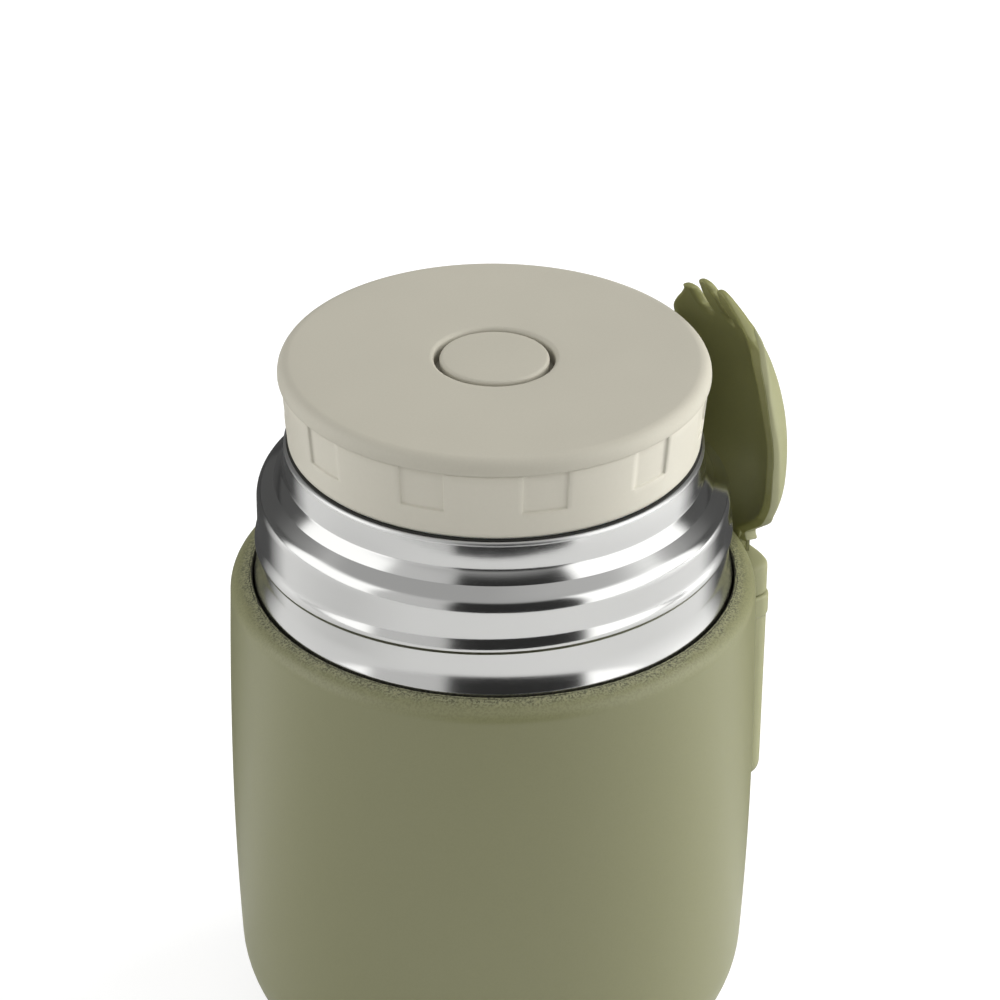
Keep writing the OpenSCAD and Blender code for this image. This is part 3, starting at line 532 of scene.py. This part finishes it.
def buildShell():
    s = SimpleNamespace(**bodyShape)
    lean = math.degrees(-math.atan((s.widestZ - s.baseRound) / s.lowerCurve))
    baseZ = s.baseRound * (1 + math.sin(math.radians(lean)))
    baseX = barrelRadius(baseZ) - s.baseRound * math.cos(math.radians(lean))
    rimX = barrelRadius(s.shoulderZ - s.shoulderRound - s.shoulderRise) - s.shoulderRound
    tilt = math.atan(s.shoulderRise / (rimX + s.shoulderRound / 2 - s.coatEdge))
    run = rimX + s.shoulderRound * math.sin(tilt) - s.coatEdge
    rimZ = s.shoulderZ - run * math.tan(tilt) - s.shoulderRound * math.cos(tilt)
    profile = [(baseX - s.flatRing, 0), (baseX - 2, 0)]
    profile += arcPoints(baseX, s.baseRound, s.baseRound, -90, lean, 22)
    z = baseZ
    while z < rimZ - 2:
        z += 2
        profile.append((barrelRadius(min(z, rimZ - 0.4)), min(z, rimZ - 0.4)))
    profile += arcPoints(rimX, rimZ, s.shoulderRound, 0, 90 - math.degrees(tilt), 12)
    edge = (s.coatEdge + 0.12, s.shoulderZ - 0.01)
    profile += blendPoints(profile[-1], edge, 9)
    profile += [(s.coatEdge + 0.03, s.shoulderZ - 0.1), (s.coatEdge, s.shoulderZ - 0.3),
                (s.coatEdge, s.shoulderZ - s.collar)]
    inner = s.wall
    profile += [(s.coatEdge + inner, s.shoulderZ - s.collar),
                (s.coatEdge + inner, s.shoulderZ - inner - 0.2),
                (rimX, rimZ + s.shoulderRound - inner - 0.1)]
    z = rimZ
    while z > baseZ:
        profile.append((barrelRadius(z) - inner, z))
        z -= 6
    profile += [(x, max(z, inner)) for x, z in arcPoints(baseX, s.baseRound, s.baseRound - inner,
                                                         lean, -90, 10)]
    profile.append((baseX - s.flatRing, inner))
    first = min(k for k, p in enumerate(profile) if p[1] > 96.5 and p[0] < s.edgeR)

    def crumble(r, z, t, k):  # the coating's end wanders and is grainy near the neck
        if k < first or z < s.edgeZ or r > s.edgeR:
            return r, z
        near = 1 - smoothStep(s.coatEdge, s.edgeInR, r)
        p = Vector((math.cos(t), math.sin(t), 0)) * s.coatEdge
        wander = max(noise.noise(p * 0.45), 0) + 0.6 * max(noise.noise(p * 1.6 + Vector((7, 0, 0))), 0)
        grain = noise.noise(Vector((math.cos(t) * r * 2.4, math.sin(t) * r * 2.4, 3)))
        return (r + s.ragged * wander * near * near,
                z + s.crumb * grain * near - 0.04 * near * near)

    verts, faces = lathe(profile, s.segments, crumble)
    makePiece("coatedShell", verts, faces, coat, "jar", "outer_shell", sharp=50)
    # dark speckled steel that shows where the coating stops short
    ring = [(44.28, 96.0), (44.28, 97.45), (44.36, 97.56), (44.9, 97.58), (44.9, 97.2), (44.6, 96.0)]
    verts, faces = lathe(ring, 240)
    makePiece("bareShoulderEdge", verts, faces, rawEdge, "jar", None)


buildShell()
print("coated shell ready")


# Bare steel neck

neckShape = {
    "mouthR": 38.3, "mouthTopR": 37.95, "rimZ": 125.0, "wallDrop": 4.75, "slope": 54.5,
    "fillet": 3.1, "round": 3.0, "wallR": 43.1, "rolledRim": 0.8, "wall": 0.6,
    "flareTop": 102.0, "flareR": 43.9, "flareFoot": 97.9, "footZ": 94.5, "step": 0.12,
    "beadZ": 106.6,       # height of the bead's crest at the front, mm
    "beadLead": 6.5,      # climb of the bead in one turn, mm
    "beadOut": 0.55, "beadAbove": 2.4, "beadBelow": 1.2,
    "front": -123.0,      # degrees, the side that faces the photographer
    "segments": 480,
}


def buildNeck():
    s = SimpleNamespace(**neckShape)
    lean = math.radians(s.slope)
    turn = s.fillet + s.round
    wallZ = s.rimZ - s.wallDrop
    slope = (s.wallR - s.mouthR - turn * (1 - math.cos(lean))) / math.tan(lean)
    neckZ = wallZ - turn * math.sin(lean) - slope
    outer = [(s.mouthTopR, s.rimZ - s.rolledRim)]
    for i in range(1, 8):  # the mouth's wall, a little bowed
        t = i / 7
        outer.append((s.mouthTopR + (s.mouthR - 0.02 - s.mouthTopR) * (1 - (1 - t) ** 1.6),
                      outer[0][1] + (wallZ + 0.4 - outer[0][1]) * t))
    outer += arcPoints(s.mouthR + s.fillet, wallZ, s.fillet, 180, 180 + s.slope, 14)
    start = (s.wallR - s.round + s.round * math.cos(lean), neckZ + s.round * math.sin(lean))
    outer += blendPoints(outer[-1], start, 6)
    outer += arcPoints(s.wallR - s.round, neckZ, s.round, s.slope, 0, 12)[1:]
    z = outer[-1][1]
    while z > s.flareTop + s.step:
        z -= s.step
        outer.append((s.wallR, z))
    rows = 14
    for i in range(1, rows + 1):
        t = i / rows
        outer.append((s.wallR + (s.flareR - s.wallR) * t ** 1.6,
                      s.flareTop - (s.flareTop - s.flareFoot) * t))
    outer.append((s.flareR, s.footZ))
    wall = s.wall
    inner = [(s.flareR - wall, s.footZ), (s.flareR - wall, s.flareFoot - 0.3),
             (s.wallR - wall, s.flareTop - 1), (s.wallR - wall, neckZ),
             (s.mouthR + 0.3, wallZ - 0.8), (s.mouthR - 0.7, wallZ + 0.2),
             (s.mouthTopR - wall, s.rimZ - s.rolledRim)]
    profile = outer + inner
    last = len(outer)

    def bead(r, z, t, k):  # a shallow helix rolled into the wall, fading out behind
        if k >= last or abs(r - s.wallR) > 0.01:
            return r, z
        away = (math.degrees(t) - s.front + 180) % 360 - 180
        drop = z - (s.beadZ + s.beadLead * away / 360)
        span = s.beadAbove if drop > 0 else s.beadBelow
        if abs(drop) > span:
            return r, z
        fade = 1 - smoothStep(150, 172, abs(away))
        return r + s.beadOut * fade * (1 + math.cos(math.pi * drop / span)) / 2, z

    verts, faces = lathe(profile, s.segments, bead)
    makePiece("turnedNeck", verts, faces, neckSteel, "jar", "neck_ring", sharp=60)


buildNeck()
print("neck ready")


# Stopper: top disc, grip ring and button

stopperShape = {
    "seamZ": 138.3, "topZ": 141.3, "footZ": 125.3, "floorZ": 127.3,
    "topR": 38.8, "topRound": 2.4, "seamR": 38.4, "footR": 37.2, "boreR": 36.0, "plugR": 33.6,
    "holeR": 10.85, "dish": 0.9, "buttonR": 9.85, "buttonRound": 0.7, "buttonRise": 0.2,
    "buttonWall": 1.25, "buttonT": 2.0, "flange": 1.6, "flangeT": 1.2,
    "panels": 11, "panelArc": 12.0, "panelH": 7.8, "panelDepth": 0.42, "panelEdge": 0.3,
    "firstPanel": -109.3,
}


def buildTopDisc():
    s = SimpleNamespace(**stopperShape)
    r = s.topR
    profile = [(s.holeR, s.seamZ), (20, s.seamZ), (30, s.seamZ), (35.6, s.seamZ),
               (r - 0.35, s.seamZ)]
    profile += arcPoints(r - 0.25, s.seamZ + 0.3, 0.25, -90, 0, 4)
    profile += arcPoints(r - s.topRound, s.topZ - s.topRound, s.topRound, 0, 90, 16)
    profile += [(34, s.topZ), (28, s.topZ), (20, s.topZ), (14, s.topZ)]
    profile += arcPoints(s.holeR + s.dish, s.topZ - s.dish, s.dish, 90, 180, 10)
    verts, faces = lathe(profile, 256)
    spigot = [(34.6, s.seamZ - 2), (35.8, s.seamZ - 2), (35.8, s.seamZ), (34.6, s.seamZ)]
    addPart(verts, faces, lathe(spigot, 256))
    makePiece("stopperTopDisc", verts, faces, creamTopShaded, "stopper", "lid_top", sharp=50)


def buildGripRing():
    s = SimpleNamespace(**stopperShape)
    half = s.panelArc / 2
    edge = math.degrees(s.panelEdge / s.seamR)
    centres = [s.firstPanel + 360 * k / s.panels for k in range(s.panels)]
    angles = set()
    for c in centres:
        for side in (-1, 1):
            for step in (-1, -0.5, 0, 0.5, 1):
                angles.add(round(c + side * half + step * edge / 2, 4))
        angles.update(round(c + a, 4) for a in (-4.5, -3, -1.5, 0, 1.5, 3, 4.5, 7.5))
        angles.update(round(c + 9 + 1.6 * k, 4) for k in range(11))
    angles = sorted(angles)
    angles = [a for i, a in enumerate(angles) if i == 0 or a - angles[i - 1] > 0.01]
    bottom = s.seamZ - s.panelH
    heights = [s.seamZ - down for down in (0.12, 0.4, 2, 4, 6)]
    heights += [bottom + s.panelEdge * t for t in (1.0, 0.5, 0.25, 0, -0.25, -0.5)]
    heights += [bottom - down for down in (1.2, 2.4, 3.6)]
    heights += [s.footZ + up for up in (1.0, 0.6, 0.25, 0.1)]

    def radius(z):
        return s.seamR + (s.footR - s.seamR) * (s.seamZ - z) / (s.seamZ - s.footZ)

    loops = []
    for a in angles:
        t = math.radians(a)
        off = min(abs((a - c + 180) % 360 - 180) for c in centres)
        inside = 1 - smoothStep(half - edge / 2, half + edge / 2, off)
        line = [(s.boreR, s.seamZ), (radius(s.seamZ) - 0.35 - 0.1 * inside, s.seamZ)]
        for z in heights:
            cut = inside * smoothStep(bottom - s.panelEdge / 2, bottom + s.panelEdge / 2, z)
            lip = 0.12 if z > s.seamZ - 0.2 else 0
            foot = max(0.5 - (z - s.footZ), 0) ** 2 * 1.4
            line.append((radius(z) - s.panelDepth * cut - lip - foot, z))
        line += [(s.footR - 0.5, s.footZ), (s.plugR, s.footZ), (s.plugR, s.floorZ),
                 (s.boreR, s.floorZ)]
        loops.append([(r * math.cos(t), r * math.sin(t), z) for r, z in line])
    loops.append(loops[0])
    verts, faces = loft(loops, False, False)
    makePiece("gripRing", verts, faces, creamSide, "stopper", "lid_ring", sharp=55)


def buildButton():
    s = SimpleNamespace(**stopperShape)
    r, z = s.buttonR, s.topZ
    under = s.seamZ - 0.2
    profile = [(0, z - s.buttonT), (r - s.buttonWall, z - s.buttonT),
               (r - s.buttonWall, under - s.flangeT), (r + s.flange, under - s.flangeT),
               (r + s.flange, under), (r, under), (r, z - s.buttonRound - 1),
               (r, z - s.buttonRound - 0.2)]
    profile += arcPoints(r - s.buttonRound, z - s.buttonRound, s.buttonRound, 0, 90, 9)
    for i in range(1, 9):
        x = (r - s.buttonRound) * (1 - i / 8)
        profile.append((x, z + s.buttonRise * (1 - (x / (r - s.buttonRound)) ** 2)))
    verts, faces = lathe(profile, 160)
    makePiece("ventButton", verts, faces, creamTopShaded, "button", "button_cap", sharp=45)


def buildGasketGapShade():
    # Thin dark ring at the edge of the mouth's gasket, between the stopper's foot and the rim: painted
    # shade of that gap
    r, z = stopperShape["footR"], stopperShape["footZ"]
    profile = [(r - 0.9, z - 0.03), (r - 0.9, z - 0.27), (r + 0.2, z - 0.27), (r + 0.32, z - 0.2),
               (r + 0.36, z - 0.14), (r + 0.32, z - 0.07), (r + 0.2, z - 0.03)]
    verts, faces = lathe(profile, 256)
    makePiece("gasketGapShadeRing", verts, faces, gapShadeRing, "gasket")


buildTopDisc()
buildGasketGapShade()
buildGripRing()
buildButton()
print("stopper ready")


# Pocket on the side

pocketShape = {
    "width": 24.0, "bottomZ": 37.0, "topZ": 80.0, "out": 55.9, "cornerR": 5.0, "edgeR": 3.0,
    "lipH": 4.5, "lipOut": 0.3, "slot": (51.7, 54.5), "slotHalf": 8.2, "slotDepth": 41.0,
    "padGap": 0.62,
}


def buildPocket():
    s = SimpleNamespace(**pocketShape)
    sideSteps, faceSteps, arcSteps, backSteps = 8, 14, 8, 14

    def section(z, w, x, r, backR):  # round outer corners, hugging the barrel behind
        back = math.sqrt(backR ** 2 - w ** 2)
        loop = upTo((back, -w), (x - r, -w), sideSteps)
        loop += arcPoints(x - r, r - w, r, -90, 0, arcSteps)[:-1]
        loop += upTo((x, r - w), (x, w - r), faceSteps)
        loop += arcPoints(x - r, w - r, r, 0, 90, arcSteps)[:-1]
        loop += upTo((x - r, w), (back, w), sideSteps)
        loop += [(math.sqrt(backR ** 2 - y ** 2), y) for _, y in upTo((0, w), (0, -w), backSteps)]
        return [(px, py, z) for px, py in loop]

    def slotLoop(z, grow):  # in over the mouth and down the slot
        x0, x1, w = s.slot[0] - grow, s.slot[1] + grow, s.slotHalf + grow
        corners = [(x0, -w), (x1, -w), (x1, 0.3 - w), (x1, w - 0.3), (x1, w), (x0, w), (x0, -w)]
        loop = []
        for i, steps in enumerate((sideSteps, arcSteps, faceSteps, arcSteps, sideSteps, backSteps)):
            loop += upTo(corners[i], corners[i + 1], steps)
        return [(px, py, z) for px, py in loop]

    z0, z1 = s.bottomZ, s.topZ
    lipZ = z1 - s.lipH
    levels = [z0 + s.cornerR * (1 - math.cos(math.radians(90 * i / 12))) for i in range(13)]
    levels += [z0 + s.cornerR + (lipZ - 0.5 - z0 - s.cornerR) * i / 14 for i in range(1, 15)]
    levels += [lipZ - 0.3, lipZ - 0.1, lipZ + 0.1, lipZ + 0.3, lipZ + 0.5, lipZ + 1.4, z1 - 1.6,
               z1 - 0.7, z1 - 0.4, z1 - 0.2, z1 - 0.06, z1]
    loops = []
    for z in levels:
        rise = min((z - z0) / s.cornerR, 1)
        w = s.width / 2 - s.cornerR * (1 - math.sqrt(max(1 - (1 - rise) ** 2, 0)))
        rise = min((z - z0) / s.edgeR, 1)
        x = s.out - s.edgeR * (1 - math.sqrt(max(1 - (1 - rise) ** 2, 0)))
        lip = s.lipOut * smoothStep(lipZ - 0.4, lipZ + 0.4, z)
        top = max(0.6 - (z1 - z), 0)
        soft = 0.6 - math.sqrt(max(0.36 - top * top, 0))
        backR = barrelRadius(z) + s.padGap
        loops.append(section(z, w + lip - soft, x + lip - soft, s.edgeR + lip, backR))
    loops += [slotLoop(z1, 0.3), slotLoop(z1 - 0.1, 0.08), slotLoop(z1 - 0.35, 0),
              slotLoop(z1 - s.slotDepth, 0)]
    verts, faces = loft(loops)
    makePiece("sporkPocket", verts, faces, olivePocket, "jar", "spork_pocket", sharp=42)


buildPocket()
print("pocket ready")


# Spork

sporkShape = {
    # height and x of the hollow's middle, from the neck to the tips
    "middle": [(80, 51.2), (88, 51.2), (91.5, 51.25), (94, 51.65), (97, 52.9), (104, 56.3), (112, 57.4),
               (120, 56.95), (128, 54.45), (134, 51.1), (138, 48.75), (141, 47.05), (145, 44.95)],
    # height and radius of the hollow from side to side
    "across": [(80, 120), (90, 60), (95, 30), (100, 22.6), (106, 21.94), (112, 21.94), (124, 20.0),
               (132, 21.5), (138, 32), (146, 50)],
    # height and thickness of the skin, and the tines' own thickness
    "skin": [(80, 1.6), (94, 2.9), (97, 2.1), (100, 1.5), (106, 1.45), (112, 1.3), (119, 1.13),
             (124, 1.0), (128, 0.93), (132, 1.0), (135, 0.98), (138, 0.7), (146, 0.7)],
    "tines": [(134, 2.2), (138, 2.15), (140, 2.0), (142, 1.75), (144.5, 1.4)],
    # y and height of the skin's top edge, before its dips below the slots
    "skinTop": [(-13, 136.6), (-11.6, 137.8), (-10.4, 138.2), (-6, 138.2), (-3, 138.0), (0, 137.6),
                (3, 137.3), (6, 136.9), (8, 136.6), (10, 136.0)],
    "core": 1.58, "skinStep": 0.28, "bevel": 1.35, "undercut": 0.22,
    "rimGap": 0.33, "skinGap": 0.3, "fillGap": 0.85,  # spacing of the points on edges and inside
    "lipReach": 1.9, "tineReach": 1.2,                # width of the worked band along the rim
    # half width and height of the outline, at the foot and then on the near and the far side
    "foot": [(6.6, 90), (6.9, 91.8), (8.9, 93.5), (11.4, 95.4), (13.9, 97.5), (15.9, 99.8),
             (17.5, 102.9), (18.9, 106.8), (19.35, 111.5)],
    "near": [(18.7, 117.5), (17.9, 123), (17.3, 127.5), (16.4, 131), (14.6, 134.3), (12.2, 137.2),
             (10.2, 139.6), (8.7, 141.6)],
    "far": [(18.9, 117.5), (17.9, 123), (16.2, 127), (14.6, 130), (13.2, 132.6), (11.7, 135.1),
            (10.1, 137.0), (8.9, 138.5)],
    # y, height and radius of the tips; y, half width and lowest point of the slots
    "tipNear": (-5.5, 142.1, 2.2), "tipMid": (1.0, 142.0, 1.75), "tipFar": (7.9, 138.2, 1.4),
    "slots": ((-2.3, 0.85, 135.6), (5.0, 1.6, 135.0)),
}


def outlineOf(control, spacing):  # even points along a smooth closed line through the controls
    points = [Vector(p) for p in control]
    n = len(points)
    fine = []
    for i in range(n):
        a, b, c, d = points[i - 1], points[i], points[(i + 1) % n], points[(i + 2) % n]
        for k in range(16):
            t = k / 16
            fine.append(0.5 * (2 * b + (c - a) * t + (2 * a - 5 * b + 4 * c - d) * t * t
                               + (3 * b - a - 3 * c + d) * t ** 3))
    total = [0.0]
    for i in range(len(fine)):
        total.append(total[-1] + (fine[(i + 1) % len(fine)] - fine[i]).length)
    count = int(total[-1] / spacing)
    even, j = [], 0
    for i in range(count):
        goal = total[-1] * i / count
        while total[j + 1] < goal:
            j += 1
        t = (goal - total[j]) / (total[j + 1] - total[j])
        even.append(fine[j].lerp(fine[(j + 1) % len(fine)], t))
    return even


def inwards(loop):  # unit directions from each point into the shape
    n = len(loop)
    area = sum(loop[i].x * loop[(i + 1) % n].y - loop[(i + 1) % n].x * loop[i].y for i in range(n))
    into = []
    for i in range(n):
        along = (loop[(i + 2) % n] - loop[i - 2]).normalized()
        into.append(Vector((-along.y, along.x)) * (1 if area > 0 else -1))
    return into


def fillInside(loop, gap):  # triangles inside a closed loop, with a grid of points in it
    xs = [p.x for p in loop]
    ys = [p.y for p in loop]
    n = len(loop)

    def distance(q):
        best, odd = 1e9, False
        for i in range(n):
            a, b = loop[i], loop[(i + 1) % n]
            if (a.y > q.y) != (b.y > q.y) and q.x < (b.x - a.x) * (q.y - a.y) / (b.y - a.y) + a.x:
                odd = not odd
            best = min(best, (q - a).length_squared)
        return math.sqrt(best) if odd else -1

    inner = []
    y = min(ys) + gap / 2
    row = 0
    while y < max(ys):
        x = min(xs) + gap * (0.25 if row % 2 else 0.75)
        while x < max(xs):
            q = Vector((x, y))
            if distance(q) > gap * 0.6:
                inner.append(q)
            x += gap
        y += gap * 0.87
        row += 1
    points = list(loop) + inner
    found, _, faces, origin, _, _ = delaunay_2d_cdt(points, [], [list(range(n))], 1, 1e-7)
    order = []
    for i, src in enumerate(origin):  # an added point goes to the end
        order.append(src[0] if src else len(points))
        if not src:
            points.append(found[i])
    return points, [tuple(order[i] for i in f) for f in faces]


def buildSpork():
    s = SimpleNamespace(**sporkShape)
    middle, across = curveThrough(s.middle), curveThrough(s.across, steady=True)
    skin, thick = curveThrough(s.skin, steady=True), curveThrough(s.tines, steady=True)
    top = curveThrough(s.skinTop, steady=True)

    def place(y, z, g):  # point of the curved sheet, at depth g behind its hollow face
        slope = (middle(z + 0.2) - middle(z - 0.2)) / 0.4
        r = across(z)
        arc = math.sqrt(max((r + g) ** 2 - y * y, 1))
        return (middle(z) + g * (math.sqrt(1 + slope * slope) - 1) - r + arc, y, z)

    def tip(disc, angles):  # round end of a tine, from its near side to its far side
        y, z, r = disc
        return [(y + r * math.cos(math.radians(a)), z + r * math.sin(math.radians(a)))
                for a in angles[::-1]]

    def valley(slot, count):  # near side, bottom and far side of a slot
        y, half, z = slot
        side = [(1.12, 5.2), (1.06, 3.4), (1.0, 1.7), (0.78, 0.5)]
        shape = side + [(0, 0)] + [(-a, b) for a, b in side[::-1]]
        return [(y - half * a, z + b) for a, b in shape[:count]]

    near, far = s.foot + s.near, (s.foot + s.far)[::-1]
    control = [(-y, z) for y, z in near]
    control += tip(s.tipNear, (-8, 30, 60, 90, 120, 145))
    control += valley(s.slots[0], 9)
    control += tip(s.tipMid, (-8, 30, 60, 90, 120, 150, 188))
    control += valley(s.slots[1], 7)
    control += tip(s.tipFar, (58, 90, 120, 150))
    control += far
    rim = outlineOf(control, s.rimGap)

    def sheet(points, directions, reach, front, rear, undercut=0.0):
        # closed sheet: loops from the front's inside, over the edge, to the rear's inside
        steps = [1.0, 0.86, 0.75, 0.66, 0.5, 0.34, 0.2, 0.1, 0.03, 0.0]
        loops = []
        for face in (front, rear):
            ring = []
            for f in steps:
                loop = []
                for p, d, m in zip(points, directions, reach):
                    q = p + d * (f * m + (undercut * (1 - f) if face is front else 0))
                    loop.append(place(q.x, q.y, face(p, f * m)))
                ring.append(loop)
            loops += ring if face is front else ring[::-1]
        flat = [p + d * m for p, d, m in zip(points, directions, reach)]
        spots, tris = fillInside(flat, s.fillGap)
        count = len(points)
        verts, faces = loft(loops, False, False)
        for lift, face in ((0, front), (len(loops) - 1, rear)):
            base = len(verts)
            verts += [place(q.x, q.y, face(q, 9)) for q in spots[count:]]
            for tri in tris:
                faces.append(tuple(lift * count + i if i < count else base + i - count for i in tri))
        return verts, faces

    def tine(p):  # 0 in the bowl and 1 in the tines
        return smoothStep(134.2, 138.0, p.y + 0.3 * max(p.x, 0))

    def rounding(inset, radius):
        return radius - math.sqrt(max(radius ** 2 - max(radius - inset, 0) ** 2, 0))

    def coreFront(p, inset):  # a bevelled lip round the bowl, rounded tines
        soft = 0.1
        depth = math.log(1 + math.exp(min((s.bevel - inset) / soft, 40)))
        bevel = (s.core - 0.12) / s.bevel * soft * depth
        return bevel * (1 - tine(p)) + rounding(inset, 0.62) * tine(p)

    def skinEnd(y):  # the skin dips below the slots between the tines
        end = top(y)
        for middleY, half, z in s.slots:
            end -= (top(y) - z + 0.5) * math.exp(-((y - middleY) / (half + 0.3)) ** 4)
        return end

    def coreRear(p, inset):  # the tines are thicker, from where the skin ends
        bare = smoothStep(-0.35, 0.35, p.y - skinEnd(p.x))
        deep = (thick(p.y + 0.4 * max(p.x, 0)) - s.core) * bare
        return s.core + deep - rounding(inset, 0.7) * tine(p) * bare

    reach = [s.lipReach * (1 - tine(p)) + s.tineReach * tine(p) for p in rim]
    verts, faces = sheet(rim, inwards(rim), reach, coreFront, coreRear)
    # neck pad, a flat block up into the hollow's foot
    pad = []
    for z, w, x in ((84.2, 6.3, 50.95), (84.6, 6.5, 50.95), (89, 6.5, 50.95), (91.5, 6.5, 51.05),
                    (93.5, 6.4, 51.45), (94.6, 6.3, 51.85), (95.1, 6.1, 52.2), (95.3, 5.6, 52.6)):
        pad.append([(x + 0.35, -w, z), (x, -w + 0.4, z), (x, w - 0.4, z), (x + 0.35, w, z),
                    (x + 2.6, w, z), (x + 2.6, -w, z)])
    addPart(verts, faces, loft(pad))
    # tongue that slides in the pocket
    tongue = []
    for z, w, g in ((41.0, 6.6, 0.7), (41.3, 7.3, 0.3), (42.0, 7.8, 0.0), (43.0, 8.0, 0.0),
                    (60, 8.0, 0.0), (78, 8.0, 0.0), (84.6, 8.0, 0.0)):
        x0, x1 = 51.9 + g, 54.3 - g
        tongue.append([(x0, -w + 0.5, z), (x0, w - 0.5, z), (x0 + 0.4, w, z), (x1 - 0.4, w, z),
                       (x1, w - 0.5, z), (x1, -w + 0.5, z), (x1 - 0.4, -w, z), (x0 + 0.4, -w, z)])
    addPart(verts, faces, loft(tongue))
    makePiece("sporkCore", verts, faces, shadedOliveNylon, "spork", "spork_core", sharp=48)

    # soft skin over the back, ending in a step below the tines
    step = s.skinStep
    back = [(-y - step, z) for y, z in near if z < 135]
    back += [(y / 3, skinEnd(y / 3)) for y in range(-36, 30)]
    back += [(y + step, z) for y, z in far if z < 135]
    edge = outlineOf(back, s.skinGap)

    def low(p):  # 0 round the tines' feet and 1 in the bowl
        return smoothStep(133, 126, p.y)

    def skinRear(p, inset):  # the skin thins towards its edge and in the middle of the bowl
        thin = 0.3 * low(p) * max(1 - inset / 2.4, 0) ** 2
        thin += 0.24 * smoothStep(12, 4, abs(p.x)) * smoothStep(124, 118, p.y)
        return s.core + skin(p.y) - thin - rounding(inset, 0.22)

    reach = [0.75 + 1.65 * low(p) for p in edge]
    verts, faces = sheet(edge, inwards(edge), reach, lambda p, inset: s.core + 0.02, skinRear,
                         s.undercut)
    # neck of the skin and the collar that rests on the pocket
    neck = []
    for z in (84, 88, 91.5, 93.2):
        neck.append([(53.1, -6.6, z), (53.1, 6.6, z), (53.6, 6.9, z), (54.0, 6.3, z), (54.2, 5.2, z),
                     (54.2, -5.2, z), (54.0, -6.3, z), (53.6, -6.9, z)])
    addPart(verts, faces, loft(neck))
    collar = []
    for z, w in ((80.3, 11.8), (80.36, 11.8), (80.5, 11.8), (80.9, 11.8), (83, 11.8), (85.6, 11.8),
                 (86.1, 11.75), (86.5, 11.4), (86.8, 10.6), (87.05, 9.4), (87.25, 8.2), (87.4, 7.2)):
        soft = 0.5 - math.sqrt(max(0.25 - max(80.8 - z, 0) ** 2, 0))
        soft += 0.9 - math.sqrt(max(0.81 - max(z - 86.5, 0) ** 2, 0))
        x0, x1, r = 50.5 + soft, 55.6 - soft, 2.4
        corners = arcPoints(x1 - r, r - w, r, -90, 0, 4) + arcPoints(x1 - r, w - r, r, 0, 90, 4)
        loop = [(x, y, z) for x, y in corners]
        loop += [(x0 + 0.5, w, z), (x0 + 0.1, w - 0.2, z), (x0, w - 0.6, z), (x0, -w + 0.6, z),
                 (x0 + 0.1, -w + 0.2, z), (x0 + 0.5, -w, z)]
        collar.append(loop)
    addPart(verts, faces, loft(collar))
    makePiece("sporkSkin", verts, faces, litOliveElastomer, "spork", "spork_skin", sharp=40)


buildSpork()
print("spork ready")


# Nodes whose CAD shape is kept, with their finish
keptFinish = {
    "inner_liner": linerSteel, "reflector_foil": foil(), "base_cap": baseSteel,
    "vacuum_plug": sealGlass, "getter": getterMetal, "pocket_pad": padRubber,
    "stopper_cup": whiteInner, "insulation_puck": foam(), "mouth_gasket": clearSeal,
    "valve_sleeve": whiteInner, "valve_stem": acetal, "valve_seal": clearSeal,
    "stem_clip": acetal, "button_spring": springSteel,
}
for name, finish in keptFinish.items():
    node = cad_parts[name]
    node.data.materials.clear()
    node.data.materials.append(finish)
print("kept nodes finished")
